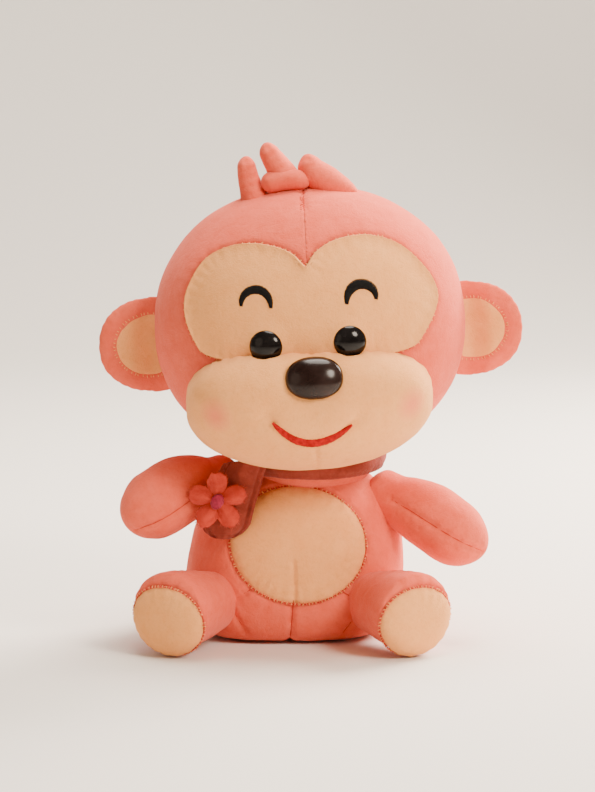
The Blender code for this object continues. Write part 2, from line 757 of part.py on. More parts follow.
EAR = Form((EAR_REACH, EAR_HALF_THICKNESS, EAR_HALF_HEIGHT), (2.2, 2.2))
for side_name, side_sign in SIDES.items():
    root = HEAD_CENTRE + Vector((side_sign * EAR_ROOT_X, 0.0, EAR_CENTRE_Z))
    ear_frame = frame(f"{side_name}_ear_frame", root, parent=head_frame)
    pad = EAR.bmesh(0.0, 20, 10)
    keep_side(pad, (-side_sign * EAR_EDGE, 0.0, 0.0), (side_sign, 0.0, 0.0))
    bmesh.ops.holes_fill(pad, edges=pad.edges)
    ear = add_object(
        f"{side_name}_ear", mesh_from(pinched(pad), f"{side_name}_ear"), ear_frame, look=VELOUR_PINK
    )
    LINING = Form(
        (EAR_REACH * EAR_LINING_SCALE, EAR_LINING_THICKNESS, EAR_HALF_HEIGHT * EAR_LINING_SCALE), (2.2, 2.2)
    )
    lining_place = Vector((side_sign * EAR_LINING_OUT, -EAR_HALF_THICKNESS + EAR_LINING_PROUD, 0.0))
    name = f"{side_name}_ear_lining"
    lining = keep_side(LINING.bmesh(0.0, 16, 8), (side_sign * EAR_EDGE, 0.0, 0.0), (side_sign, 0.0, 0.0))
    bmesh.ops.holes_fill(lining, edges=lining.edges)
    add_object(name, mesh_from(pinched(lining, lining_place), name), ear_frame, look=VELOUR_CREAM)
    hollow = pinched(LINING.bmesh(-GAP, 16, 8), lining_place)
    recess = add_object(name + "_recess", mesh_from(hollow, name), ear_frame)
    boolean(ear, recess)


# Hair
def lock(name, points, radii, parent, look=VELOUR_PINK, flat=1.15):
    """A stuffed lock: a tube of changing thickness through the points, closed at both ends."""
    curve = bpy.data.curves.new(name, "CURVE")
    curve.dimensions = "3D"
    curve.bevel_depth = 1.0
    curve.bevel_resolution = 1
    curve.use_fill_caps = True
    curve.resolution_u = 3
    spline = curve.splines.new("NURBS")
    spline.order_u = 3
    spline.use_endpoint_u = True
    spline.points.add(len(points) - 1)
    for index, (point, radius) in enumerate(zip(points, radii, strict=True)):
        spline.points[index].co = (*point, 1.0)
        spline.points[index].radius = radius
    drawn = bpy.data.objects.new(name + "_line", curve)
    CUTTERS.objects.link(drawn)
    mesh = closed_mesh(drawn)
    for vertex in mesh.vertices:
        vertex.co.y = HAIR_ROOT_Y + (vertex.co.y - HAIR_ROOT_Y) * flat
    add_object(name, mesh, parent, HEAD_CENTRE, look)


LOCKS = {
    "hair_roll": (
        [(-0.0200, 0.0712), (-0.0080, 0.0722), (0.0050, 0.0722), (0.0100, 0.0718)],
        [0.0030, 0.0042, 0.0042, 0.0030],
    ),
    "hair_right_lock": (
        [(-0.0270, 0.0672), (-0.0290, 0.0730), (-0.0285, 0.0790), (-0.0255, 0.0850)],
        [0.0028, 0.0056, 0.0056, 0.0016],
    ),
    "hair_middle_lock": (
        [(0.0030, 0.0795), (-0.0050, 0.0815), (-0.0130, 0.0835), (-0.0170, 0.0925)],
        [0.0016, 0.0042, 0.0062, 0.0016],
    ),
    "hair_left_lock": (
        [(0.0270, 0.0690), (0.0180, 0.0755), (0.0110, 0.0800), (0.0035, 0.0865)],
        [0.0020, 0.0050, 0.0048, 0.0016],
    ),
}
for lock_name, (path, thickness) in LOCKS.items():
    lock(lock_name, [(x, HAIR_ROOT_Y, z) for x, z in path], thickness, head_frame)


# Arms and legs
ROOT_OPENING = 0.70
BEYOND = 0.100


def limb_cover(name, shape, limb_frame, look, near, far):
    """The cloth of a limb between two places along it."""
    cover = add_object(name, mesh_from(limb_bmesh(shape), name), limb_frame, look=look)
    inside = mesh_from(limb_bmesh(shape, FABRIC), name + "_inside")
    boolean(cover, add_object(name + "_inside", inside, limb_frame))
    if near is not None:
        boolean(cover, rod(name + "_behind", BEYOND, near - BEYOND, near, limb_frame, (0, 0, 0), None))
    if far is not None:
        boolean(cover, rod(name + "_ahead", BEYOND, far, far + BEYOND, limb_frame, (0, 0, 0), None))


for limb_name, limb in LIMBS.items():
    shape = limb["shape"]
    limb_frame = frame(f"{limb_name}_frame", limb["pivot"], limb["turn"], body_frame)
    opening = -ROOT_OPENING * shape[0]
    seam = None
    if limb_name.endswith("leg"):
        seam = shape[1] + SOLE_OFFSET
        limb_cover(f"{limb['side']}_sole", shape, limb_frame, VELOUR_CREAM, seam + HALF_SEAM, None)
        seam -= HALF_SEAM
    limb_cover(limb_name, shape, limb_frame, VELOUR_PINK, opening, seam)
    name = f"{limb_name}_filling"
    add_object(name, mesh_from(limb_bmesh(shape, FABRIC + GAP), name), limb_frame, look=FILLING)


# Scarf
band_tilt = Matrix.Rotation(BAND_TILT, 4, "X").to_quaternion()
band_bm = bmesh.new()
BAND_STEPS, BAND_SIDES = 24, 6
band_loops = []
for step in range(BAND_STEPS):
    around = 2.0 * math.pi * step / BAND_STEPS
    loop = []
    for side in range(BAND_SIDES):
        angle = 2.0 * math.pi * side / BAND_SIDES
        out = math.cos(angle) * BAND_THICKNESS
        x = (BAND_RADII[0] + out) * math.cos(around)
        y = (BAND_RADII[1] + out) * math.sin(around)
        loop.append(band_bm.verts.new((x, y, math.sin(angle) * BAND_HEIGHT)))
    band_loops.append(loop)
for step, loop in enumerate(band_loops):
    following = band_loops[(step + 1) % BAND_STEPS]
    for side in range(BAND_SIDES):
        after = (side + 1) % BAND_SIDES
        band_bm.faces.new((loop[side], following[side], following[after], loop[after]))
add_object("scarf_band", mesh_from(band_bm, "scarf_band"), body_frame, BAND_CENTRE, VELOUR_ROSE, band_tilt)

tail_frame = frame("scarf_tail_frame", TAIL_PIVOT, parent=body_frame)


def tail_bmesh():
    bm = bmesh.new()
    rows = []
    for middle, share in zip(TAIL_PATH, TAIL_SHARES, strict=True):
        half = TAIL_WIDTH / 2.0 * share
        row = []
        for k in (-1.0, -0.5, 0.0, 0.5, 1.0):
            row.append(bm.verts.new((middle[0] + half * k, middle[1] + TAIL_CURL * abs(k), middle[2])))
        rows.append(row)
    for upper, lower in zip(rows, rows[1:], strict=False):
        for index in range(len(upper) - 1):
            bm.faces.new((upper[index], lower[index], lower[index + 1], upper[index + 1]))
    return bm


tail = add_object("scarf_tail", mesh_from(tail_bmesh(), "scarf_tail"), tail_frame, look=VELOUR_ROSE)
solidify(tail, TAIL_THICKNESS)
rounding = tail.modifiers.new("soft edges", "SUBSURF")
rounding.levels = rounding.render_levels = 1


def flower_points():
    points = []
    for petal in range(PETALS):
        middle = 2.0 * math.pi * petal / PETALS + math.pi / 2.0
        turned = PETAL_SHOULDER_TURN
        for turn, share in ((-turned, PETAL_SHOULDER), (0.0, 1.0), (turned, PETAL_SHOULDER)):
            angle = middle + turn * 2.0 * math.pi / PETALS
            reach = (PETAL_RING + PETAL_RADIUS) * share
            points.append((reach * math.cos(angle), reach * math.sin(angle)))
        valley = middle + math.pi / PETALS
        points.append((
            PETAL_RING * PETAL_VALLEY * math.cos(valley),
            PETAL_RING * PETAL_VALLEY * math.sin(valley),
        ))
    return points


def flat_piece(name, points, half_depth, parent, place, look):
    corners = [False] * len(points)
    obj = outline_solid(name, points, corners, half_depth, parent, place, STAND_UP)
    CUTTERS.objects.unlink(obj)
    PARTS.objects.link(obj)
    obj.hide_render = False
    obj.display_type = "TEXTURED"
    obj.data.materials.append(material(*look))
    return obj


flat_piece(
    "flower", flower_points(), FLOWER_THICKNESS / 2.0, tail_frame, FLOWER_OFFSET,
    ("coral_felt", FELT, 0.95),
)
centre_out = FLOWER_THICKNESS / 2.0 + FLOWER_CENTRE_HALF_DEPTH + GAP
flat_piece(
    "flower_centre", ellipse_points(FLOWER_CENTRE_SEMI), FLOWER_CENTRE_HALF_DEPTH, tail_frame,
    FLOWER_OFFSET + Vector((0.0, -centre_out, 0.0)), ("magenta_thread", MAGENTA, 0.8),
)
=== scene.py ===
"""The looks of the stuffed monkey: sewn velour over filling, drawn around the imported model."""
import json
import math

import bmesh
import bpy
import numpy as np
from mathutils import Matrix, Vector, kdtree, noise
from mathutils.bvhtree import BVHTree


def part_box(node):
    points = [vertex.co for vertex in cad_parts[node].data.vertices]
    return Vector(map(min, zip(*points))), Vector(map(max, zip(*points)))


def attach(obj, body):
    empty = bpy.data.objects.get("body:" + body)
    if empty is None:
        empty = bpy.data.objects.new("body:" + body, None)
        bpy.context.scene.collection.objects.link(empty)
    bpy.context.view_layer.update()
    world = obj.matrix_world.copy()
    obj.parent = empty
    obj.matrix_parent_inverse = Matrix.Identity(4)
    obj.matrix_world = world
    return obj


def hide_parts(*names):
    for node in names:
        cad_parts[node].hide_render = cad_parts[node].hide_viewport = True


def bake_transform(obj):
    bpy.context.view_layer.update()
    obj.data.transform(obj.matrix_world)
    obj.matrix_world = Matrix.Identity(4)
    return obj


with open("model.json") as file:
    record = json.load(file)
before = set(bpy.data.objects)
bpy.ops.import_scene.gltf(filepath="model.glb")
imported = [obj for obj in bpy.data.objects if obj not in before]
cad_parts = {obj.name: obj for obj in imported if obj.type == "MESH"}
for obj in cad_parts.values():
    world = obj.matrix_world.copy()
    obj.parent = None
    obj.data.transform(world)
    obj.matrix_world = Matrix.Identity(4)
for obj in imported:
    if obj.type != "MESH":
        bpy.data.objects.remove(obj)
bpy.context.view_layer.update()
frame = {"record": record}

JOINTS = {joint["name"]: joint for joint in frame["record"]["behaviour"]["joints"]}
MM = 0.001
SIDES = {"left": 1.0, "right": -1.0}


def joint_place(name):
    return np.array(JOINTS[name]["pos_m"])


def joint_axis(name):
    axis = np.array(JOINTS[name]["axis"], dtype=float)
    return axis / np.linalg.norm(axis)


def box_of(*nodes):
    """The lowest and highest corner round several nodes at rest."""
    corners = [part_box(node) for node in nodes]
    low = np.min([np.array(pair[0]) for pair in corners], axis=0)
    high = np.max([np.array(pair[1]) for pair in corners], axis=0)
    return low, high


# ---------------------------------------------------------------- camera and light

CAMERA_TARGET = Vector((0.0037, -0.020, 0.1195))
CAMERA_DISTANCE = 1.60
CAMERA_ELEVATION = math.radians(8.0)
CAMERA_LENS = 149.0
MONKEY_MIDDLE = (0.0, -0.02, 0.12)
FLOOR_FRONT = -4.0
FLOOR_BACK = 1.0
FLOOR_HALF = 5.0
SWEEP = 0.7
WALL_TOP = 4.0


def add_camera():
    data = bpy.data.cameras.new("camera")
    data.lens = CAMERA_LENS
    data.sensor_width = 36.0
    data.clip_start = 0.05
    camera = bpy.data.objects.new("camera", data)
    bpy.context.scene.collection.objects.link(camera)
    away = Vector((0.0, -math.cos(CAMERA_ELEVATION), math.sin(CAMERA_ELEVATION)))
    camera.location = CAMERA_TARGET + away * CAMERA_DISTANCE
    camera.rotation_euler = (-away).to_track_quat("-Z", "Y").to_euler()
    bpy.context.scene.camera = camera


def add_lamp(name, place, size, power, colour, aim=MONKEY_MIDDLE):
    data = bpy.data.lights.new(name, "AREA")
    data.shape = "DISK"
    data.size = size
    data.energy = power
    data.color = colour
    lamp = bpy.data.objects.new(name, data)
    bpy.context.scene.collection.objects.link(lamp)
    lamp.location = place
    lamp.rotation_euler = (Vector(aim) - Vector(place)).to_track_quat("-Z", "Y").to_euler()


def add_studio():
    world = bpy.data.worlds.new("studio")
    world.use_nodes = True
    background = world.node_tree.nodes["Background"]
    background.inputs["Color"].default_value = (1.0, 0.86, 0.70, 1.0)
    background.inputs["Strength"].default_value = 0.30
    bpy.context.scene.world = world
    add_lamp("key", (0.80, -0.80, 0.85), 0.50, 21.0, (1.0, 0.87, 0.72))
    add_lamp("rim", (0.70, 0.60, 0.60), 0.60, 44.0, (1.0, 0.88, 0.76))
    add_lamp("fill", (-0.95, -0.75, 0.45), 0.90, 2.0, (1.0, 0.80, 0.62))
    add_lamp("top", (0.10, 0.10, 1.10), 0.70, 18.0, (1.0, 0.92, 0.82))
    turn = np.linspace(0.0, math.pi / 2.0, 24)
    bend = np.column_stack([FLOOR_BACK + SWEEP * np.sin(turn), SWEEP - SWEEP * np.cos(turn)])
    profile = np.vstack([[(FLOOR_FRONT, 0.0)], bend, [(FLOOR_BACK + SWEEP, WALL_TOP)]])
    corners = [(x, y, z) for x in (-FLOOR_HALF, FLOOR_HALF) for y, z in profile]
    count = len(profile)
    faces = [(i, count + i, count + i + 1, i + 1) for i in range(count - 1)]
    floor = make_object("floor", np.array(corners), faces)
    add_lamp("wash", (0.0, 0.75, 1.9), 1.2, 26.0, (1.0, 0.93, 0.84), aim=(0.0, 1.7, 0.3))
    paint = Paint("floor_paper")
    paint.shader.inputs["Base Color"].default_value = (0.80, 0.76, 0.71, 1.0)
    paint.shader.inputs["Roughness"].default_value = 0.8
    floor.data.materials.append(paint.material)


# ---------------------------------------------------------------- materials

class Paint:
    """A node material with short calls for the nodes used here."""

    def __init__(self, name):
        self.material = bpy.data.materials.new(name)
        self.material.use_nodes = True
        self.nodes = self.material.node_tree.nodes
        self.shader = self.nodes["Principled BSDF"]

    def link(self, source, target):
        self.material.node_tree.links.new(source, target)

    def node(self, kind, **values):
        node = self.nodes.new(kind)
        for key, value in values.items():
            if hasattr(node, key):
                setattr(node, key, value)
            else:
                node.inputs[key.replace("_", " ")].default_value = value
        return node

    def place(self):
        """The resting place of each point of the cloth, kept with the mesh."""
        if not hasattr(self, "rest"):
            self.rest = self.node("ShaderNodeAttribute", attribute_name="rest").outputs["Vector"]
        return self.rest

    def noise(self, scale, detail=3.0, roughness=0.6, distortion=0.0):
        node = self.node(
            "ShaderNodeTexNoise", Scale=scale, Detail=detail, Roughness=roughness, Distortion=distortion
        )
        self.link(self.place(), node.inputs["Vector"])
        return node.outputs["Fac"]

    def ramp(self, value, low, high, out_low=0.0, out_high=1.0):
        node = self.node("ShaderNodeMapRange")
        node.inputs["From Min"].default_value = low
        node.inputs["From Max"].default_value = high
        node.inputs["To Min"].default_value = out_low
        node.inputs["To Max"].default_value = out_high
        self.link(value, node.inputs["Value"])
        return node.outputs["Result"]

    def mix(self, share, first, second):
        node = self.node("ShaderNodeMix", data_type="RGBA")
        for socket, value in zip((node.inputs[0], node.inputs[6], node.inputs[7]), (share, first, second)):
            if isinstance(value, bpy.types.NodeSocket):
                self.link(value, socket)
            elif isinstance(value, float):
                socket.default_value = value
            else:
                socket.default_value = (*value, 1.0)
        return node.outputs[2]

    def bump(self, height, strength, distance, after=None):
        node = self.node("ShaderNodeBump", Strength=strength, Distance=distance)
        self.link(height, node.inputs["Height"])
        if after is not None:
            self.link(after, node.inputs["Normal"])
        return node.outputs["Normal"]


def velour(name, colour, deep, light, pile=1500.0, spots=(), wear=0.25, sheen=0.30, fluff=1.0):
    """Short-pile cloth: brushed patches, a fine grain of hairs, dark gaps between tufts, and sheen.

    spots are soft round marks of another colour: (place, radius, colour, strength).
    """
    paint = Paint(name)
    brushed = paint.noise(150.0, 4.0, 0.62, 0.6)
    tufts = paint.noise(pile * 0.45, 3.0, 0.65)
    hairs = paint.noise(pile, 2.0, 0.7)
    base = paint.mix(paint.ramp(brushed, 0.28, 0.74), deep, light)
    gaps = tuple(0.6 * c for c in deep)
    tips = tuple(min(1.0, 1.10 * c + 0.02) for c in light)
    base = paint.mix(paint.ramp(tufts, 0.30, 0.50, 0.16, 0.0), base, gaps)
    base = paint.mix(paint.ramp(hairs, 0.56, 0.78, 0.0, wear), base, tips)
    for centre, radius, tone, strength in spots:
        away = paint.node("ShaderNodeVectorMath", operation="DISTANCE")
        paint.link(paint.place(), away.inputs[0])
        away.inputs[1].default_value = tuple(centre)
        share = paint.ramp(away.outputs["Value"], radius, radius * 0.15, 0.0, strength)
        base = paint.mix(share, base, tone)
    paint.link(base, paint.shader.inputs["Base Color"])
    rough = paint.ramp(hairs, 0.3, 0.7, 0.80, 0.98)
    paint.link(rough, paint.shader.inputs["Roughness"])
    inputs = paint.shader.inputs
    inputs["Specular IOR Level"].default_value = 0.18
    inputs["Sheen Weight"].default_value = sheen
    inputs["Sheen Roughness"].default_value = 0.45
    inputs["Sheen Tint"].default_value = (*[min(1.0, 0.35 + 0.9 * c) for c in colour], 1.0)
    soft = paint.bump(brushed, 0.30, 0.0010 * fluff)
    grain = paint.bump(tufts, 0.45, 0.00050 * fluff, soft)
    fine = paint.bump(hairs, 0.80, 0.00035 * fluff, grain)
    paint.link(fine, inputs["Normal"])
    return paint.material


def thread(name, colour, gloss=0.45, sheen=0.2):
    """Embroidery thread: fine twist along its length, a soft gloss and uneven dye."""
    paint = Paint(name)
    twist = paint.noise(2600.0, 2.0, 0.5)
    tone = paint.ramp(paint.noise(420.0, 2.0), 0.35, 0.65)
    dark = tuple(0.55 * c for c in colour)
    paint.link(paint.mix(tone, dark, colour), paint.shader.inputs["Base Color"])
    paint.link(paint.ramp(twist, 0.3, 0.7, gloss, gloss + 0.2), paint.shader.inputs["Roughness"])
    paint.shader.inputs["Sheen Weight"].default_value = sheen
    paint.shader.inputs["Specular IOR Level"].default_value = 0.16
    paint.link(paint.bump(twist, 0.5, 0.0002), paint.shader.inputs["Normal"])
    return paint.material


def plastic(name, colour, roughness, coat):
    """Moulded plastic with faint flow marks, and dust and fine rubs in its gloss."""
    paint = Paint(name)
    flow = paint.noise(70.0, 3.0)
    rubs = paint.noise(900.0, 4.0, 0.7)
    lighter = tuple(min(1.0, 1.8 * c + 0.006) for c in colour)
    paint.link(paint.mix(paint.ramp(flow, 0.35, 0.7), colour, lighter), paint.shader.inputs["Base Color"])
    paint.link(paint.ramp(rubs, 0.45, 0.8, roughness, roughness + 0.10), paint.shader.inputs["Roughness"])
    paint.shader.inputs["Coat Weight"].default_value = coat
    paint.shader.inputs["Coat Roughness"].default_value = 0.06
    paint.shader.inputs["Specular IOR Level"].default_value = 0.22
    paint.link(paint.bump(flow, 0.12, 0.0004), paint.shader.inputs["Normal"])
    return paint.material


def fibre(name, colour):
    """Loose fibre filling or plain lining cloth: crossing strands of slightly different white."""
    paint = Paint(name)
    strands = paint.noise(520.0, 6.0, 0.75, 1.8)
    clumps = paint.noise(60.0, 3.0)
    grey = tuple(0.72 * c for c in colour)
    shade = paint.mix(paint.ramp(clumps, 0.3, 0.7), grey, colour)
    shade = paint.mix(paint.ramp(strands, 0.35, 0.6, 0.4, 0.0), shade, grey)
    paint.link(shade, paint.shader.inputs["Base Color"])
    paint.link(paint.ramp(strands, 0.3, 0.7, 0.85, 1.0), paint.shader.inputs["Roughness"])
    paint.link(paint.bump(strands, 0.8, 0.0008), paint.shader.inputs["Normal"])
    return paint.material


PINK = (0.79, 0.112, 0.056)
PINK_DEEP = (0.75, 0.098, 0.047)
PINK_LIGHT = (0.82, 0.134, 0.074)
CREAM = (0.89, 0.385, 0.118)
CREAM_DEEP = (0.87, 0.362, 0.104)
CREAM_LIGHT = (0.91, 0.410, 0.136)
ROSE = (0.24, 0.036, 0.021)
ROSE_DEEP = (0.19, 0.026, 0.015)
ROSE_LIGHT = (0.29, 0.048, 0.030)
# Painted shade: the dark red of the lines laid in the bottoms of the seams.
SEAM_SHADE_RED = (0.52, 0.040, 0.018)
BLUSH = (0.90, 0.20, 0.10)
CORAL = (0.50, 0.038, 0.019)
CORAL_DEEP = (0.42, 0.029, 0.015)
CORAL_LIGHT = (0.58, 0.056, 0.030)


# ---------------------------------------------------------------- shape tools

def smooth_step(value, low, high):
    share = np.clip((value - low) / (high - low), 0.0, 1.0)
    return share * share * (3.0 - 2.0 * share)


class Form:
    """A soft rounded shape: a superellipsoid, fuller above or below, that may narrow upwards."""

    def __init__(self, centre, semi, fullness, turn=None, pear=0.0):
        self.centre = np.array(centre, dtype=float)
        self.semi = np.array(semi, dtype=float)
        self.upper, self.lower = fullness
        self.turn = np.eye(3) if turn is None else np.array(turn)
        self.pear = pear

    def reach(self, unit):
        share = smooth_step(unit[:, 2], -0.35, 0.35)
        power = self.lower + (self.upper - self.lower) * share
        return np.sum(np.abs(unit) ** power[:, None], axis=1) ** (-1.0 / power)

    def local(self, unit):
        """Surface points in the form's own frame, in the direction of unit vectors."""
        reach = self.reach(unit)
        points = unit * reach[:, None] * self.semi
        narrow = 1.0 - self.pear * unit[:, 2] * reach
        points[:, 0] *= narrow
        points[:, 1] *= narrow
        return points

    def world(self, local):
        return local @ self.turn.T + self.centre

    def inside(self, points):
        """Below 1 inside the form, and above 1 outside it; for a form that doesn't narrow."""
        local = (points - self.centre) @ self.turn
        scaled = local / self.semi
        length = np.linalg.norm(scaled, axis=1)
        return length / self.reach(scaled / np.maximum(length, 1e-9)[:, None])

    def front(self, x, z):
        """Points on the front at places seen from the front, in the form's own frame."""
        low = np.zeros(len(x))
        high = np.full(len(x), self.semi[1] * 1.3)
        for _ in range(36):
            y = (low + high) / 2.0
            probe = np.stack([x / self.semi[0], -y / self.semi[1], z / self.semi[2]], axis=1)
            length = np.linalg.norm(probe, axis=1)
            unit = probe / np.maximum(length, 1e-9)[:, None]
            surface = self.local(unit) / self.semi
            within = length < np.linalg.norm(surface, axis=1)
            low = np.where(within, y, low)
            high = np.where(within, high, y)
        return np.stack([x, -low, z], axis=1)


SPHERES = {}


def unit_sphere(detail):
    """The corners and triangles of a fine even sphere."""
    if detail not in SPHERES:
        bm = bmesh.new()
        bmesh.ops.create_icosphere(bm, subdivisions=detail, radius=1.0)
        units = np.array([vertex.co[:] for vertex in bm.verts])
        faces = np.array([[vertex.index for vertex in face.verts] for face in bm.faces])
        bm.free()
        SPHERES[detail] = (units / np.linalg.norm(units, axis=1)[:, None], faces)
    return SPHERES[detail]


def make_object(name, points, faces, material=None):
    mesh = bpy.data.meshes.new(name)
    mesh.from_pydata([tuple(p) for p in np.asarray(points)], [], [tuple(f) for f in faces])
    mesh.update()
    obj = bpy.data.objects.new(name, mesh)
    bpy.context.scene.collection.objects.link(obj)
    mesh.shade_smooth()
    if material is not None:
        mesh.materials.append(material)
    remember_rest(obj)
    return obj


def remember_rest(obj):
    """Keeps each point's resting place with the mesh, for its material."""
    mesh = obj.data
    rest = mesh.attributes.get("rest") or mesh.attributes.new("rest", "FLOAT_VECTOR", "POINT")
    places = np.empty(len(mesh.vertices) * 3, dtype=np.float32)
    mesh.vertices.foreach_get("co", places)
    rest.data.foreach_set("vector", places)


def closed_up(obj):
    """Turns the faces of a finished mesh outwards."""
    bm = bmesh.new()
    bm.from_mesh(obj.data)
    bmesh.ops.recalc_face_normals(bm, faces=bm.faces)
    bm.to_mesh(obj.data)
    bm.free()
    return obj


def dress(obj, body, slot, *nodes, fill=None):
    """Says which body a piece rides and hides the nodes it replaces; slot and fill are not used."""
    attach(obj, body)
    if nodes:
        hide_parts(*nodes)


def triangles(faces):
    """The first three corners of every face."""
    return np.array([face[:3] for face in faces])


def normals_of(points, faces):
    """Smooth corner normals of a mesh of triangles or quads."""
    faces = np.asarray(faces)
    first, second, last = points[faces[:, 0]], points[faces[:, 1]], points[faces[:, -1]]
    flat = np.cross(second - first, last - first)
    normals = np.zeros_like(points)
    for column in range(faces.shape[1]):
        np.add.at(normals, faces[:, column], flat)
    return normals / np.maximum(np.linalg.norm(normals, axis=1), 1e-12)[:, None]


def soft_noise(points, scale, seed=0.0, octaves=2):
    """Smooth bumps between about -1 and 1, with the given size in metres."""
    offset = Vector((seed * 7.31, seed * 3.77, seed * 5.13))
    return np.array(
        [noise.fractal(Vector(p) / scale + offset, 1.0, 2.0, octaves) for p in points]
    )


def uneven(points, coarse, size, fine, fine_size, seed):
    """Large and small soft bumps of cloth; heights and sizes in millimetres."""
    large = coarse * MM * soft_noise(points, size * MM, seed)
    return large + fine * MM * soft_noise(points, fine_size * MM, seed + 1.0)


def nearest_tree(points):
    """A tree that finds the nearest one of several points."""
    tree = kdtree.KDTree(len(points))
    for index, point in enumerate(points):
        tree.insert(Vector(point), index)
    tree.balance()
    return tree


class Seam:
    """A sewn line: the cloth dips along it and gathers into small puckers beside it."""

    STEP = 0.8      # between its points, in millimetres

    def __init__(self, points, closed, depth, width, pucker, pitch):
        self.points = resample(points, self.STEP * MM, closed)
        self.depth = depth
        self.width = width
        self.pucker = pucker
        self.pitch = pitch
        self.tree = nearest_tree(self.points)

    def offset(self, points):
        """How far each point of the cloth moves out (or in, below 0)."""
        moved = np.zeros(len(points))
        reach = max(4.0 * self.width, 9.0 * MM)
        low = self.points.min(axis=0) - reach
        high = self.points.max(axis=0) + reach
        near = np.nonzero(np.all((points > low) & (points < high), axis=1))[0]
        for index in near:
            _, which, away = self.tree.find(Vector(points[index]))
            if away > reach:
                continue
            along = which * self.STEP * MM
            waves = math.sin(2.0 * math.pi * along / self.pitch + 2.2 * math.sin(along * 97.0))
            moved[index] -= self.depth * math.exp(-((away / self.width) ** 2))
            fade = math.exp(-away / (2.6 * self.width)) * min(1.0, away / (0.6 * self.width))
            moved[index] += self.pucker * waves * fade
        return moved


def resample(points, step, closed=False):
    """The same line with points evenly spaced."""
    points = np.asarray(points, dtype=float)
    if closed:
        points = np.vstack([points, points[:1]])
    lengths = np.linalg.norm(np.diff(points, axis=0), axis=1)
    total = np.concatenate([[0.0], np.cumsum(lengths)])
    count = max(3, int(round(total[-1] / step)))
    wanted = np.linspace(0.0, total[-1], count + 1)
    if closed:
        wanted = wanted[:-1]
    return np.stack([np.interp(wanted, total, points[:, k]) for k in range(3)], axis=1)


def rounded(points, rounds=3, closed=True):
    """Cuts the corners of a line until it is smooth."""
    points = np.asarray(points, dtype=float)
    for _ in range(rounds):
        following = np.roll(points, -1, axis=0)
        cut = np.stack([0.75 * points + 0.25 * following, 0.25 * points + 0.75 * following], axis=1)
        if closed:
            points = cut.reshape(-1, points.shape[-1])
        else:
            points = np.vstack([points[:1], cut[:-1].reshape(-1, points.shape[-1]), points[-1:]])
    return points


def even_outline(outline, step):
    """A flat closed outline with its points evenly spaced."""
    return resample(np.column_stack([outline, np.zeros(len(outline))]), step, closed=True)[:, :2]


def smoothed(values, width):
    """Values along a line after a soft moving average over a width, with the ends held."""
    kernel = np.hanning(width)
    half = width // 2
    held = np.concatenate([np.full(half, values[0]), values, np.full(half, values[-1])])
    return np.convolve(held, kernel / kernel.sum(), mode="valid")


COVER_THICKNESS = 1.2 * MM
HALF_GAP = 0.05      # each half of a cover stops this far short of the middle, in millimetres


def cut_away(bm, place, side):
    """Removes what lies behind a plane, and gives what the cut made."""
    return bmesh.ops.bisect_plane(
        bm, geom=bm.verts[:] + bm.edges[:] + bm.faces[:], dist=1e-6,
        plane_co=place, plane_no=side, clear_inner=True,
    )


def half_cover(whole, name, place, side, material):
    """The cloth of a whole cover on one side of a plane, with its thickness inwards."""
    bm = bmesh.new()
    bm.from_mesh(whole.data)
    cut_away(bm, place, side)
    mesh = bpy.data.meshes.new(name)
    bm.to_mesh(mesh)
    bm.free()
    cover = bpy.data.objects.new(name, mesh)
    bpy.context.scene.collection.objects.link(cover)
    mesh.shade_smooth()
    mesh.materials.append(material)
    remember_rest(cover)
    modifier = cover.modifiers.new("cloth", "SOLIDIFY")
    modifier.thickness = COVER_THICKNESS
    modifier.offset = -1.0
    return cover


# ---------------------------------------------------------------- patches, stitches and threads

def in_outline(x, z, outline):
    """Which places lie inside a closed outline, by counting crossings."""
    inside = np.zeros(len(x), dtype=bool)
    following = np.roll(outline, -1, axis=0)
    for (x1, z1), (x2, z2) in zip(outline, following):
        if z1 == z2:
            continue
        crosses = ((z1 > z) != (z2 > z)) & (x < (x2 - x1) * (z - z1) / (z2 - z1) + x1)
        inside ^= crosses
    return inside


def disc_grid(outline, centre, rings):
    """Places from a middle out to a closed outline, closer together near it, and their faces."""
    count = len(outline)
    shares = 1.0 - (1.0 - np.linspace(0.0, 1.0, rings + 1)[1:]) ** 1.5
    places = [np.array([centre])]
    places += [np.array(centre) + share * (outline - np.array(centre)) for share in shares]
    faces = [(0, 1 + i, 1 + (i + 1) % count) for i in range(count)]
    for ring in range(rings - 1):
        inner, outer = 1 + ring * count, 1 + (ring + 1) * count
        for i in range(count):
            after = (i + 1) % count
            faces.append((inner + i, outer + i, outer + after, inner + after))
    return np.vstack(places), faces


def closed_patch(name, points, faces, count, thickness, material):
    """A patch of cloth with a back and a rim, from its outer face. Its last count points are the rim."""
    normals = normals_of(points, triangles(faces))
    total = len(points)
    back = points - normals * thickness
    both = np.vstack([points, back])
    all_faces = list(faces) + [tuple(total + i for i in reversed(f)) for f in faces]
    edge = total - count
    for i in range(count):
        after = (i + 1) % count
        all_faces.append((edge + i, total + edge + i, total + edge + after, edge + after))
    return make_object(name, both, all_faces, material)


def patch_heights(points, edge_points, edge, top, width):
    """A patch's height, low at its sewn edge and puffed up away from it, and how far from the edge it is."""
    tree = nearest_tree(edge_points)
    away = np.array([tree.find(Vector(p))[2] for p in points])
    return edge + (top - edge) * (1.0 - np.exp(-away / width)), away


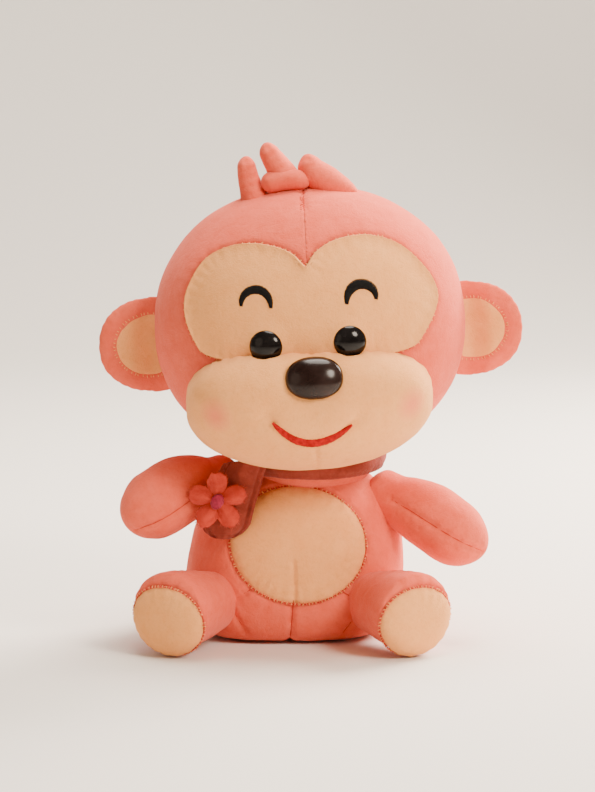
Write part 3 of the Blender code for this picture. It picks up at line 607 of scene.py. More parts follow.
class Threads:
    """Many short threads gathered in one mesh."""

    def __init__(self):
        self.points = []
        self.faces = []

    def tube(self, path, radii, sides=6, up=None):
        """A closed tube along a path; radii is one value for each point."""
        path = np.asarray(path)
        tangents = np.gradient(path, axis=0)
        tangents /= np.maximum(np.linalg.norm(tangents, axis=1), 1e-12)[:, None]
        guide = np.array([0.0, 0.0, 1.0]) if up is None else np.asarray(up)
        start = len(self.points)
        for point, tangent, radius in zip(path, tangents, radii):
            side = np.cross(tangent, guide)
            if np.linalg.norm(side) < 1e-6:
                side = np.cross(tangent, np.array([1.0, 0.0, 0.0]))
            side /= np.linalg.norm(side)
            other = np.cross(side, tangent)
            for k in range(sides):
                angle = 2.0 * math.pi * k / sides
                self.points.append(point + radius * (math.cos(angle) * side + math.sin(angle) * other))
        for ring in range(len(path) - 1):
            for k in range(sides):
                a = start + ring * sides + k
                b = start + ring * sides + (k + 1) % sides
                self.faces.append((a, a + sides, b + sides, b))
        first = [start + k for k in range(sides)]
        last = [start + (len(path) - 1) * sides + k for k in range(sides)]
        self.faces.append(tuple(first))
        self.faces.append(tuple(reversed(last)))

    def make(self, name, material):
        return closed_up(make_object(name, np.array(self.points), self.faces, material))


RANDOM = np.random.default_rng(7)
TUFT_LEAN = 0.35
SATIN_SPACING = 0.42 * MM
SATIN_SLANT = 0.25


def painted_seam_shade(name, line, normals, material, sunk=0.70 * MM, radius=0.33 * MM, closed=True):
    """A dark red tube laid in the bottom of a seam: painted shade of the seam's groove."""
    path = line - normals * sunk
    if closed:
        path = np.vstack([path, path[:1]])
    threads = Threads()
    shares = np.linspace(0.0, 40.0, len(path))
    threads.tube(path, radius * (1.0 + 0.12 * np.sin(shares * 9.0)), sides=7)
    return threads.make(name, material)


def edge_tufts(name, line, normals, into, material, pitch, length, thick):
    """Little tufts of pile that stick out across a seam, from one side of it.

    line and normals are the seam and the cloth's outward direction there; into is the direction
    across the seam that the tufts point to, for each point.
    """
    threads = Threads()
    lengths = np.concatenate([[0.0], np.cumsum(np.linalg.norm(np.diff(line, axis=0), axis=1))])
    count = int(lengths[-1] / pitch)
    for step in range(count):
        at = (step + 0.5) * pitch + RANDOM.uniform(-0.25, 0.25) * pitch
        place = np.array([np.interp(at, lengths, line[:, k]) for k in range(3)])
        out = np.array([np.interp(at, lengths, normals[:, k]) for k in range(3)])
        across = np.array([np.interp(at, lengths, into[:, k]) for k in range(3)])
        along = np.cross(out, across)
        reach = length * RANDOM.uniform(0.65, 1.15)
        sway = RANDOM.uniform(-TUFT_LEAN, TUFT_LEAN)
        path = [
            place - across * 0.5 * MM + out * 0.05 * MM,
            place + (across + along * sway) * reach * 0.45 + out * 0.45 * MM,
            place + (across + along * sway * 1.6) * reach + out * 0.12 * MM,
        ]
        threads.tube(path, [thick, thick * 0.85, thick * 0.12], sides=5, up=out)
    return threads.make(name, material)


def pile_rows(prefix, line, normals, into, piles, pitch, lengths=(0.8 * MM, 1.2 * MM), thick=0.26 * MM):
    """Cream tufts that point across a seam and pink ones that point back, as two pieces."""
    rows = []
    kinds = (("pile", 1.0, "cream_velour"), ("pink_pile", -1.0, "pink_velour"))
    for (kind, way, slot), pile, step, length in zip(kinds, piles, (pitch, 1.5 * MM), lengths):
        tufts = edge_tufts(f"{prefix}_{kind}", line, normals, way * into, pile, step, length, thick)
        rows.append(tufts)
    return rows


def satin_line(name, path, widths, normals, material, crown=0.75 * MM):
    """Satin stitch: threads side by side across a line, each arched over the padding."""
    threads = Threads()
    lengths = np.concatenate([[0.0], np.cumsum(np.linalg.norm(np.diff(path, axis=0), axis=1))])
    tangents = np.gradient(path, axis=0)
    tangents /= np.linalg.norm(tangents, axis=1)[:, None]
    count = int(lengths[-1] / SATIN_SPACING)
    for step in range(count + 1):
        at = lengths[-1] * step / count
        place, out, along = (
            np.array([np.interp(at, lengths, values[:, k]) for k in range(3)])
            for values in (path, normals, tangents)
        )
        width = np.interp(at, lengths, widths) * RANDOM.uniform(0.92, 1.06)
        across = np.cross(out, along)
        across /= np.linalg.norm(across)
        points = []
        for share in np.linspace(-1.0, 1.0, 7):
            lift = crown * math.sqrt(max(0.0, 1.0 - share * share)) - 0.25 * MM
            aside = across * share * width / 2.0
            points.append(place + aside + along * SATIN_SLANT * share * width / 2.0 + out * lift)
        threads.tube(points, [SATIN_SPACING * 0.62] * 7, sides=5, up=out)
    return threads.make(name, material)


# ---------------------------------------------------------------- the head

HEAD_UP = joint_axis("right_ear_fold")
HEAD_SIDE = np.cross([0.0, 1.0, 0.0], HEAD_UP)
HEAD_TURN = np.stack([HEAD_SIDE, [0.0, 1.0, 0.0], HEAD_UP], axis=1)
HEAD_SEMI = np.array([76.2, 60.0, 67.0]) * MM
head_low, head_high = box_of("head_left_panel", "head_right_panel")
HEAD_MIDDLE = np.array(
    [(head_low[0] + head_high[0]) / 2.0, head_high[1] - HEAD_SEMI[1], head_high[2] - HEAD_SEMI[2]]
)
HEAD = Form(HEAD_MIDDLE, HEAD_SEMI, (2.15, 2.15), HEAD_TURN)

MUZZLE_SEMI = np.array([59.4, 38.0, 31.0]) * MM
muzzle_low, muzzle_high = box_of("muzzle_panel")
MUZZLE_MIDDLE = (muzzle_low + muzzle_high) / 2.0
MUZZLE_MIDDLE[1] = muzzle_low[1] + MUZZLE_SEMI[1]
MUZZLE = Form(MUZZLE_MIDDLE, MUZZLE_SEMI, (2.80, 2.05), HEAD_TURN)
MUZZLE_SHIFT = (MUZZLE_MIDDLE - HEAD_MIDDLE) @ HEAD_TURN

# The edge of the face from the dip in the forehead round its left and right lobes: (across, up)
FACE_EDGE = np.array([
    (-0.6, 32.6), (4.8, 40.4), (16.0, 45.1), (31.2, 45.8), (45.8, 39.4), (57.8, 25.6), (61.4, 16.2),
    (60.6, 9.6), (56.0, 0.2), (46.4, -12.0), (-48.9, -12.0), (-57.6, 4.3), (-59.4, 15.8), (-57.0, 24.4),
    (-48.4, 37.6), (-36.4, 43.3), (-22.8, 44.6), (-7.2, 40.4), (-0.6, 32.6),
]) * MM
FACE = even_outline(rounded(FACE_EDGE, 3, closed=False)[:-1], 0.9 * MM)


def head_front(places, form=HEAD):
    """World points on a form's front at places (x, z) measured from the middle of the head."""
    if form is MUZZLE:
        places = places - MUZZLE_SHIFT[[0, 2]]
    return form.world(form.front(places[:, 0], places[:, 1]))


def middle_seam():
    """The seam from the dip of the face over the top and down the back."""
    angles = np.radians(np.linspace(60.0, 268.0, 90))
    unit = np.stack([np.zeros(90), -np.cos(angles), np.sin(angles)], axis=1)
    return HEAD.world(HEAD.local(unit / np.linalg.norm(unit, axis=1)[:, None]))


def head_detail(points, normals):
    """Moves the points of the head's cloth: seams, the bed of the face, and soft unevenness."""
    local = (points - HEAD_MIDDLE) @ HEAD_TURN
    moved = Seam(head_front(FACE), True, 1.25 * MM, 1.7 * MM, 0.24 * MM, 7.0 * MM).offset(points)
    moved += Seam(middle_seam(), False, 1.15 * MM, 1.3 * MM, 0.20 * MM, 5.5 * MM).offset(points)
    bed = in_outline(local[:, 0], local[:, 2], FACE) & (local[:, 1] < 0.0)
    moved[bed] = np.minimum(moved[bed], -1.9 * MM)
    moved += uneven(points, 0.55, 38.0, 0.12, 9.0, 1.0)
    return points + normals * moved[:, None]


def build_head(pink, seam_shade_red):
    """The two halves of the head's cover and the painted shade line in the seam between them."""
    units, faces = unit_sphere(7)
    points = HEAD.world(HEAD.local(units))
    normals = normals_of(points, faces)
    points = head_detail(points, normals)
    whole = make_object("head_whole", points, faces)
    for name, sign in SIDES.items():
        side = Vector(HEAD_SIDE * sign)
        place = Vector(HEAD_MIDDLE) + side * HALF_GAP * MM
        cover = half_cover(whole, f"head_{name}_cover", place, side, pink)
        dress(cover, "head", "pink_velour", f"head_{name}_panel", fill=0.9)
    bpy.data.objects.remove(whole, do_unlink=True)
    line = middle_seam()
    out = form_normals(line, HEAD)
    # A dark red tube in the middle seam: painted shade.
    dark = painted_seam_shade("head_seam_shade", line, out, seam_shade_red, sunk=1.15 * MM, radius=0.20 * MM, closed=False)
    dress(dark, "head", "pink_velour")


EYE_PLACES = {1.0: np.array([18.6, -2.8]) * MM, -1.0: np.array([-21.3, -3.1]) * MM}
EYE_RADIUS = 8.3 * MM
EYE_HEIGHT = 5.6 * MM


def eye_frame(sign):
    """The middle of an eye's rim and its direction out of the face."""
    place = head_front(EYE_PLACES[sign][None, :])[0]
    yaw = math.radians(13.0) * sign
    out = HEAD_TURN @ np.array([math.sin(yaw), -math.cos(yaw), 0.03])
    return place, out / np.linalg.norm(out)


def forehead_stitches(pink_pile):
    """The ladder of short stitches that closes the top of the head."""
    threads = Threads()
    for step in range(13):
        angle = math.radians(51.0 + 1.6 * step)
        wide = (0.95 + 0.30 * RANDOM.random()) * MM
        slant = RANDOM.uniform(-0.3, 0.3) * MM
        point = HEAD.world(HEAD.local(np.array([[0.0, -math.cos(angle), math.sin(angle)]])))
        out = form_normals(point, HEAD)[0]
        path = []
        for share in np.linspace(-1.0, 1.0, 5):
            rise = (0.05 - 0.75 * (1.0 - share * share)) * MM
            path.append(point[0] + HEAD_SIDE * (share - 0.5) * wide + out * rise + HEAD_UP * slant * share)
        threads.tube(path, [0.20 * MM] * 5, sides=6, up=(0.0, 1.0, 0.0))
    dress(threads.make("forehead_stitches", pink_pile), "head", "pink_velour")


def build_face(cream):
    """The heart-shaped panel, low at its sewn edge and dished under the eyes."""
    places, faces = disc_grid(FACE, (0.0, 12.0 * MM), 46)
    points = head_front(places)
    normals = normals_of(points, triangles(faces))
    edge = head_front(FACE)
    heights, away = patch_heights(points, edge, -1.05 * MM, 0.55 * MM, 2.0 * MM)
    heights += uneven(points, 0.45, 30.0, 0.10, 8.0, 3.0)
    rim = Seam(edge, True, 0.0, 2.2 * MM, 0.30 * MM, 6.0 * MM)
    heights += rim.offset(points) * smooth_step(away, 0.0, 2.0 * MM)
    for sign in SIDES.values():
        eye, _ = eye_frame(sign)
        apart = np.linalg.norm(points - eye, axis=1)
        heights -= 1.5 * MM * np.exp(-((apart / (9.5 * MM)) ** 4))
    points = points + normals * heights[:, None]
    patch = closed_patch("face", points, faces, len(FACE), 0.8 * MM, cream)
    dress(patch, "head", "cream_velour", "face_panel", fill=0.8)


def across_seam(line, outward, middle):
    """The direction across a closed seam, away from its middle, along the cloth."""
    tangents = np.roll(line, -1, axis=0) - np.roll(line, 1, axis=0)
    tangents /= np.linalg.norm(tangents, axis=1)[:, None]
    across = np.cross(tangents, outward)
    flip = np.sum(across * (line - middle), axis=1) < 0.0
    across[flip] *= -1.0
    return across / np.linalg.norm(across, axis=1)[:, None]


def form_normals(points, form):
    """Outward directions of a plain form at points on it."""
    step = 0.2 * MM
    slope = np.stack(
        [form.inside(points + step * axis) - form.inside(points - step * axis) for axis in np.eye(3)], axis=1
    )
    return slope / np.linalg.norm(slope, axis=1)[:, None]


def face_edge_tufts(piles, seam_shade_red):
    """The painted shade line and the two rows of pile along the part of the face's edge that is in view."""
    line = head_front(FACE)
    shown = MUZZLE.inside(line) > 1.0
    out = form_normals(line, HEAD)
    across = across_seam(line, out, line.mean(axis=0))
    start = int(np.argmin(shown)) if not shown.all() else 0
    order = np.roll(np.arange(len(line)), -start)
    order = order[shown[order]]
    line, out, across = line[order], out[order], across[order]
    # A dark red tube along the face's seam: painted shade.
    dark = painted_seam_shade("face_seam_shade", line, out, seam_shade_red, sunk=0.15 * MM, radius=0.30 * MM, closed=False)
    dress(dark, "head", "pink_velour")
    lengths = (1.25 * MM, 1.25 * MM)
    line = line + out * 0.35 * MM
    for tufts in pile_rows("face_edge", line, out, across, piles, 3.1 * MM, lengths, 0.30 * MM):
        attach(tufts, "head")


NOSE_PLACE = np.array([0.8, -17.4]) * MM
NOSE_SEMI = np.array([13.6, 10.3]) * MM
NOSE_TILT = math.radians(20.0)
MOUTH_MIDDLE = -1.2 * MM
MOUTH_HALF = 18.6 * MM
MOUTH_END = -39.3 * MM
MOUTH_SLANT = -1.6 * MM
MOUTH_LOW = -49.0 * MM


def nose_frame():
    place = head_front(np.array([NOSE_PLACE]), MUZZLE)[0]
    out = HEAD_TURN @ np.array([0.0, -math.cos(NOSE_TILT), math.sin(NOSE_TILT)])
    up = HEAD_TURN @ np.array([0.0, math.sin(NOSE_TILT), math.cos(NOSE_TILT)])
    return place, out, up


def build_muzzle(cream):
    """The muzzle: short seams above the nose and under the mouth, a bed for the nose, and dimples."""
    units, faces = unit_sphere(7)
    points = MUZZLE.world(MUZZLE.local(units))
    normals = normals_of(points, faces)
    local = (points - HEAD_MIDDLE) @ HEAD_TURN
    moved = uneven(points, 0.5, 32.0, 0.12, 8.0, 5.0)
    top = head_front(np.column_stack([np.zeros(14), np.linspace(-4.0, -9.0, 14) * MM]), MUZZLE)
    low = head_front(np.column_stack([np.zeros(24), np.linspace(-52.0, -64.0, 24) * MM]), MUZZLE)
    moved += Seam(top, False, 1.0 * MM, 1.1 * MM, 0.15 * MM, 4.0 * MM).offset(points)
    moved += Seam(low, False, 1.1 * MM, 1.2 * MM, 0.20 * MM, 4.0 * MM).offset(points)
    nose, nose_out, _ = nose_frame()
    apart = np.linalg.norm((points - nose) - ((points - nose) @ nose_out)[:, None] * nose_out, axis=1)
    front = local[:, 1] < -40.0 * MM
    moved -= np.where(front, 1.7 * MM * np.exp(-((apart / (13.5 * MM)) ** 4)), 0.0)
    moved += Seam(mouth_path()[0], False, 0.7 * MM, 2.4 * MM, 0.0, 5.0 * MM).offset(points)
    for sign in (-1.0, 1.0):
        ends = [MOUTH_MIDDLE + sign * MOUTH_HALF * 1.16, MOUTH_END + MOUTH_SLANT * sign + 2.6 * MM]
        dimple = head_front(np.array([ends]), MUZZLE)[0]
        moved -= 1.5 * MM * np.exp(-((np.linalg.norm(points - dimple, axis=1) / (4.2 * MM)) ** 2))
    moved += Seam(crease_line(), True, 0.5 * MM, 2.0 * MM, 0.38 * MM, 7.5 * MM).offset(points)
    points = points + normals * moved[:, None]
    for sign in SIDES.values():
        eye, out = eye_frame(sign)
        apart = np.linalg.norm(points - (eye - out * 1.2 * MM), axis=1)
        push = np.maximum(EYE_RADIUS + 0.35 * MM - apart, 0.0)
        points -= HEAD_UP[None, :] * push[:, None] * 1.3
    cover = make_object("muzzle", points, faces, cream)
    dress(cover, "head", "cream_velour", "muzzle_panel", fill=0.9)


def crease_line():
    """Where the muzzle comes out of the head, as a closed line."""
    line, count = [], 220
    for step in range(count):
        turn = 2.0 * math.pi * step / count
        low, high = 0.0, math.pi
        for _ in range(30):
            middle = (low + high) / 2.0
            aside = math.sin(middle)
            unit = np.array([[aside * math.cos(turn), -math.cos(middle), aside * math.sin(turn)]])
            point = MUZZLE.world(MUZZLE.local(unit))
            if HEAD.inside(point)[0] > 1.0:
                low = middle
            else:
                high = middle
        line.append(point[0])
    return np.array(line)


def mouth_path():
    """The smile on the muzzle: its points and the width of its stitches there."""
    share = np.linspace(-1.0, 1.0, 60)
    x = MOUTH_MIDDLE + share * MOUTH_HALF
    z = MOUTH_LOW + (MOUTH_END + MOUTH_SLANT * share - MOUTH_LOW) * share**2
    path = head_front(np.column_stack([x, z]), MUZZLE)
    widths = 4.5 * MM * np.sqrt(np.maximum(0.03, 1.0 - np.abs(share) ** 2.2))
    return path, widths


def build_mouth(red):
    path, widths = mouth_path()
    out = form_normals(path, MUZZLE)
    mouth = satin_line("mouth_stitches", path - out * 0.55 * MM, widths, out, red, crown=0.8 * MM)
    dress(mouth, "head", "red_thread", "mouth")


BROW_HALF = np.array([(17.9, 14.9), (24.9, 23.6), (31.9, 16.2)]) * MM


def build_brows(black):
    """Arched eyebrows from foot to foot as BROW_HALF says, mirrored for the two sides."""
    for name, sign in SIDES.items():
        share = np.linspace(0.0, 1.0, 50)
        angle = math.pi * share
        middle_x = (BROW_HALF[0, 0] + BROW_HALF[2, 0]) / 2.0
        half = (BROW_HALF[2, 0] - BROW_HALF[0, 0]) / 2.0
        foot = BROW_HALF[0, 1] + (BROW_HALF[2, 1] - BROW_HALF[0, 1]) * share
        x = sign * (middle_x - half * np.cos(angle))
        z = foot + (BROW_HALF[1, 1] - foot) * np.sin(angle) ** 0.85
        path = head_front(np.column_stack([x, z]))
        out = form_normals(path, HEAD)
        widths = 5.0 * MM * np.sin(angle * 0.92 + 0.12) ** 0.60
        brow = satin_line(f"{name}_brow", path + out * 0.35 * MM, np.maximum(widths, 1.0 * MM), out, black)
        dress(brow, "head", "black_thread", f"{name}_eyebrow")


DOME_SUNK = 2.4 * MM


def dome(name, place, out, up, semi, height, material, power=2.0):
    """A moulded dome with a rounded rim that is sunk a little in the cloth."""
    side = np.cross(up, out)
    side /= np.linalg.norm(side)
    up = np.cross(out, side)
    steps, around = 22, 72
    points, faces = [], []
    for ring in range(1, steps):
        angle = math.pi / 2.0 * ring / (steps - 1) * 1.28
        past = angle - math.pi / 2.0
        if past <= 0.0:
            flat, rise = math.sin(angle), height * math.cos(angle)
        else:
            flat, rise = 1.0 - 0.22 * past, -DOME_SUNK * past / 0.44
        for k in range(around):
            turn = 2.0 * math.pi * k / around
            c, s = math.cos(turn), math.sin(turn)
            reach = (abs(c) ** power + abs(s) ** power) ** (-1.0 / power)
            aside = side * semi[0] * flat * reach * c
            points.append(place + out * rise + aside + up * semi[1] * flat * reach * s)
    for ring in range(steps - 2):
        for k in range(around):
            a, b = ring * around + k, ring * around + (k + 1) % around
            faces.append((a, a + around, b + around, b))
    apex = len(points)
    points.append(place + out * height)
    faces += [(apex, k, (k + 1) % around) for k in range(around)]
    faces.append(tuple(reversed([(steps - 2) * around + k for k in range(around)])))
    obj = make_object(name, np.array(points), faces, material)
    obj.data.set_sharp_from_angle(angle=math.radians(50.0))
    return obj


def build_eyes_and_nose(black, brown):
    for name, sign in SIDES.items():
        place, out = eye_frame(sign)
        place = place - out * 0.9 * MM
        eye = dome(f"{name}_eye_dome", place, out, HEAD_UP, (EYE_RADIUS, EYE_RADIUS), EYE_HEIGHT, black)
        dress(eye, "head", "black_plastic", f"{name}_eye")
    place, out, up = nose_frame()
    nose = dome("nose_dome", place - out * 0.9 * MM, out, up, NOSE_SEMI, 7.0 * MM, brown, power=2.25)
    dress(nose, "head", "brown_plastic", "nose")


# ---------------------------------------------------------------- ears and hair

def loft(path, radii, sides, rings, ends, up=(0.0, 0.0, 1.0)):
    """Corners and faces of a stuffed tube with round ends; ends are lengths over the end radius."""
    path = np.asarray(path, dtype=float)
    smooth = rounded(path, 4, closed=False)
    lengths = np.concatenate([[0.0], np.cumsum(np.linalg.norm(np.diff(smooth, axis=0), axis=1))])
    total = lengths[-1]
    share = 0.5 - 0.5 * np.cos(np.linspace(0.0, math.pi, rings))
    at = share * total
    middles = np.stack([np.interp(at, lengths, smooth[:, k]) for k in range(3)], axis=1)
    knots = np.linspace(0.0, 1.0, len(radii))
    soft = smoothed(np.interp(np.linspace(0.0, 1.0, 200), knots, radii), 41)
    wide = np.interp(share, np.linspace(0.0, 1.0, len(soft)), soft)
    for end, away in ((ends[0] * radii[0], at), (ends[1] * radii[-1], total - at)):
        wide = wide * np.sqrt(np.clip(1.0 - (np.clip(1.0 - away / end, 0.0, 1.0)) ** 2.0, 0.0, 1.0))
    tangents = np.gradient(middles, at, axis=0)
    tangents /= np.linalg.norm(tangents, axis=1)[:, None]
    points, faces = [], []
    guide = np.array(up, dtype=float)
    turn = np.linspace(0.0, 2.0 * math.pi, sides, endpoint=False)
    for k in range(1, rings - 1):
        side = np.cross(tangents[k], guide)
        side /= np.linalg.norm(side)
        other = np.cross(side, tangents[k])
        points.append(middles[k] + wide[k] * (np.cos(turn)[:, None] * side + np.sin(turn)[:, None] * other))
    points = np.vstack(points)
    first, last = len(points), len(points) + 1
    points = np.vstack([points, middles[:1], middles[-1:]])
    rows = rings - 2
    for row in range(rows - 1):
        for k in range(sides):
            after = (k + 1) % sides
            a, b = row * sides, (row + 1) * sides
            faces.append((a + k, b + k, b + after, a + after))
    for k in range(sides):
        after = (k + 1) % sides
        faces.append((first, k, after))
        faces.append((last, (rows - 1) * sides + after, (rows - 1) * sides + k))
    return points, faces


def outward(points, faces):
    """Outward corner normals of a closed shape with triangles and quads mixed."""
    halves = [tuple(f[:3]) for f in faces] + [(f[0], f[2], f[3]) for f in faces if len(f) == 4]
    tri = np.array(halves)
    normals = normals_of(points, tri)
    volume = np.sum(np.einsum("ij,ij->i", points[tri[:, 0]], np.cross(points[tri[:, 1]], points[tri[:, 2]])))
    return normals if volume > 0.0 else -normals


def cloth(name, points, faces, material, seams, grain, seed):
    """A stuffed piece of cloth with its seams, puckers and soft unevenness."""
    normals = outward(points, faces)
    moved = 0.40 * MM * grain * soft_noise(points, 24.0 * MM, seed)
    moved += 0.13 * MM * grain * soft_noise(points, 7.0 * MM, seed + 1.0)
    for seam in seams:
        moved += seam.offset(points)
    return closed_up(make_object(name, points + normals * moved[:, None], faces, material))


EAR_SEMI = np.array([26.4, 6.4, 23.4]) * MM
EAR_FORM = Form((0.0, 0.0, 0.0), EAR_SEMI, (2.15, 2.15))
EAR_HOLLOW = 3.4 * MM


def ear_shape(local):
    """Thins the ear at its root and hollows its front, in the ear's own frame."""
    shaped = local.copy()
    across = np.abs(local[:, 0]) / EAR_SEMI[0]
    tall = local[:, 2] / EAR_SEMI[2]
    thin = 0.40 + 0.60 * smooth_step(across, 0.0, 0.45)
    shaped[:, 1] *= thin
    reach = np.sqrt(across**2 + tall**2)
    hollow = EAR_HOLLOW * (1.0 - smooth_step(reach, 0.20, 0.86))
    shaped[:, 1] += np.where(local[:, 1] < 0.0, hollow, hollow * 0.35)
    shaped[:, 1] -= 2.2 * MM * smooth_step(across, 0.35, 1.0) ** 2
    return shaped


def build_ears(pink, cream, cream_pile):
    """Each ear: a stuffed pad cut off inside the head, its cream lining, and pile along the lining."""
    units, faces = unit_sphere(6)
    for name, sign in SIDES.items():
        root = joint_place(f"{name}_ear_fold")
        local = ear_shape(EAR_FORM.local(units))
        world = local @ HEAD_TURN.T + root
        rim = np.array(
            [[math.cos(t) * EAR_SEMI[0], 0.0, math.sin(t) * EAR_SEMI[2]] for t in np.linspace(-1.5, 1.5, 60)]
        )
        rim[:, 0] *= sign
        rim_line = ear_shape(rim + np.array([0.0, 0.6 * MM, 0.0])) @ HEAD_TURN.T + root
        seam = Seam(rim_line, False, 0.75 * MM, 1.0 * MM, 0.22 * MM, 5.0 * MM)
        ear = cloth(f"{name}_ear_pad", world, faces, pink, [seam], 0.9, 11.0 + sign)
        bm = bmesh.new()
        bm.from_mesh(ear.data)
        side = Vector(HEAD_SIDE * sign)
        cut = cut_away(bm, Vector(root) - side * 7.0 * MM, side)
        rim_edges = [item for item in cut["geom_cut"] if isinstance(item, bmesh.types.BMEdge)]
        bmesh.ops.holes_fill(bm, edges=rim_edges)
        bmesh.ops.recalc_face_normals(bm, faces=bm.faces)
        bm.to_mesh(ear.data)
        bm.free()
        turn = np.linspace(-0.62 * math.pi, 0.62 * math.pi, 40)
        arc = np.column_stack([np.cos(turn) * 17.6, np.sin(turn) * 15.6]) * MM
        arc[:, 0] *= sign
        outline = even_outline(rounded(arc, 2) + np.array([sign * 1.0 * MM, 0.0]), 0.8 * MM)
        if sign < 0.0:
            outline = outline[::-1]
        places, patch_faces = disc_grid(outline, (sign * 7.5 * MM, 0.0), 26)
        points = ear_shape(EAR_FORM.front(places[:, 0], places[:, 1])) @ HEAD_TURN.T + root
        edge = ear_shape(EAR_FORM.front(outline[:, 0], outline[:, 1])) @ HEAD_TURN.T + root
        heights, _ = patch_heights(points, edge, -0.7 * MM, 0.65 * MM, 1.5 * MM)
        heights += 0.30 * MM * soft_noise(points, 13.0 * MM, 15.0 + sign)
        outwards = -HEAD_TURN[:, 1]
        points = points + outwards * heights[:, None]
        lining = closed_patch(f"{name}_ear_front", points, patch_faces, len(outline), 0.6 * MM, cream)
        closed_up(lining)
        line = edge + outwards * 0.1 * MM
        out = np.tile(outwards, (len(line), 1))
        tufts = edge_tufts(
            f"{name}_ear_pile", line, out, across_seam(line, out, line.mean(axis=0)), cream_pile,
            pitch=2.0 * MM, length=0.7 * MM, thick=0.24 * MM,
        )
        for piece in (ear, lining, tufts):
            remember_rest(piece)
            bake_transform(piece)
        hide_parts(f"{name}_ear")
        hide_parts(f"{name}_ear_lining")


# Paths of the locks in the head's frame: (across, up), and their half thickness along the way
LOCKS = {
    "hair_roll": (
        [(-20.0, 71.0), (-14.0, 72.6), (-7.0, 73.2), (-1.0, 72.4), (3.5, 70.6)],
        [4.8, 5.3, 5.3, 5.0, 4.4],
    ),
    "hair_right_lock": (
        [(-21.8, 56.0), (-23.6, 65.0), (-26.0, 73.0), (-26.9, 80.0), (-26.6, 85.2)],
        [8.8, 7.4, 5.6, 4.8, 4.0],
    ),
    "hair_middle_lock": (
        [(-6.0, 68.0), (-9.0, 75.0), (-12.5, 81.0), (-15.8, 86.5), (-17.0, 91.2)],
        [7.6, 7.2, 6.0, 5.1, 4.0],
    ),
    "hair_left_lock": (
        [(26.0, 61.5), (18.5, 66.6), (11.2, 71.0), (4.8, 75.6), (2.2, 84.6)],
        [3.4, 6.2, 7.8, 7.2, 3.9],
    ),
}
HAIR_DEPTH = -4.0 * MM
HAIR_SUNK = 1.7


def build_hair(pink):
    """The roll and the three locks, stuffed tubes sewn on the top of the head."""
    for number, (node, (path, radii)) in enumerate(LOCKS.items()):
        depth = HAIR_DEPTH - (4.0 * MM if node == "hair_roll" else 0.0)
        local = np.array([(x * MM, depth, (z - HAIR_SUNK) * MM) for x, z in path])
        world = local @ HEAD_TURN.T + HEAD_MIDDLE
        points, faces = loft(world, np.array(radii) * MM, 44, 70, (1.0, 1.25), up=(0.0, 1.0, 0.0))
        flat = (points - HEAD_MIDDLE) @ HEAD_TURN
        flat[:, 1] = depth + (flat[:, 1] - depth) * 1.15
        points = flat @ HEAD_TURN.T + HEAD_MIDDLE
        line = rounded(world, 3, closed=False) + HEAD_TURN @ np.array([0.0, -4.6 * MM, 1.6 * MM])
        seams = [] if node == "hair_roll" else [Seam(line, False, 0.5 * MM, 1.3 * MM, 0.25 * MM, 4.0 * MM)]
        piece = cloth(node + "_cloth", points, faces, pink, seams, 0.9, 21.0 + number)
        dress(piece, "head", "pink_velour", node, fill=0.7)


# ---------------------------------------------------------------- body

BODY_PEAR = 0.10
BODY_LEAN = 0.075
BODY_CENTRE = 40.0 * MM      # its height, below which the front bulges forward
SEAT = 0.6 * MM
SEAT_EDGE = 2.2      # how softly the seat turns into the side, in millimetres
BELLY_BULGE = 5.5 * MM
BODY_SEMI = np.array([53.0, 43.0, 48.0]) * MM
BODY = Form((0.0, 0.0, BODY_CENTRE), BODY_SEMI, (2.25, 2.9), pear=BODY_PEAR)
BELLY_MIDDLE = np.array([4.0, 49.0]) * MM
BELLY_SEMI = np.array([33.5, 27.7]) * MM
BELLY_TILT = math.radians(4.5)


def lean(points):
    """Leans the body towards the monkey's left as it rises."""
    leaned = points.copy()
    leaned[:, 0] += BODY_LEAN * points[:, 2]
    return leaned


def body_world(units):
    """The body's outside in the shared frame: a leaning pear that bulges at the belly and sits flat."""
    points = lean(BODY.world(BODY.local(units)))
    low = smooth_step(BODY_CENTRE - points[:, 2], 0.0, BODY_CENTRE)
    points[:, 1] += BELLY_BULGE * low * np.minimum(points[:, 1], 0.0) / BODY_SEMI[1]
    points[:, 2] = SEAT + np.logaddexp(0.0, (points[:, 2] - SEAT) / (SEAT_EDGE * MM)) * SEAT_EDGE * MM
    return points


def tree_of(points, faces):
    return BVHTree.FromPolygons([Vector(p) for p in points], [tuple(f) for f in faces])


def first_hit(tree, x, z):
    """Where a line from the front meets a shape at (x, z), or None, and the shape's direction there."""
    return tree.ray_cast(Vector((x, -1.0, z)), Vector((0.0, 1.0, 0.0)))[:2]


def nearest_normals(tree, points):
    """The outward directions of a shape nearest to several points."""
    return np.array([tree.find_nearest(Vector(p))[1][:] for p in points])


def from_front(tree, x, z):
    """The points of a shape seen from the front at places (x, z), and its outward directions there."""
    points, normals = [], []
    for px, pz in zip(x, z):
        place, normal = first_hit(tree, px, pz)
        points.append(np.array(place))
        normals.append(np.array(normal))
    normals = np.array(normals)
    flip = normals[:, 1] > 0.0
    normals[flip] *= -1.0
    return np.array(points), normals


def belly_outline():
    turn = np.linspace(0.0, 2.0 * math.pi, 240, endpoint=False)
    x, z = np.cos(turn) * BELLY_SEMI[0], np.sin(turn) * BELLY_SEMI[1]
    c, s = math.cos(-BELLY_TILT), math.sin(-BELLY_TILT)
    return even_outline(np.column_stack([c * x - s * z, s * x + c * z]), 0.85 * MM) + BELLY_MIDDLE


BODY_SEAMS = (
    [(-19.5, 28.0), (-25.0, 24.5), (-29.5, 22.0)],
    [(-29.5, 22.0), (-26.0, 14.0), (-20.5, 5.0)],
    [(25.5, 27.0), (31.0, 24.0), (35.5, 21.5)],
    [(35.5, 21.5), (31.0, 12.5), (25.5, 4.5)],
)


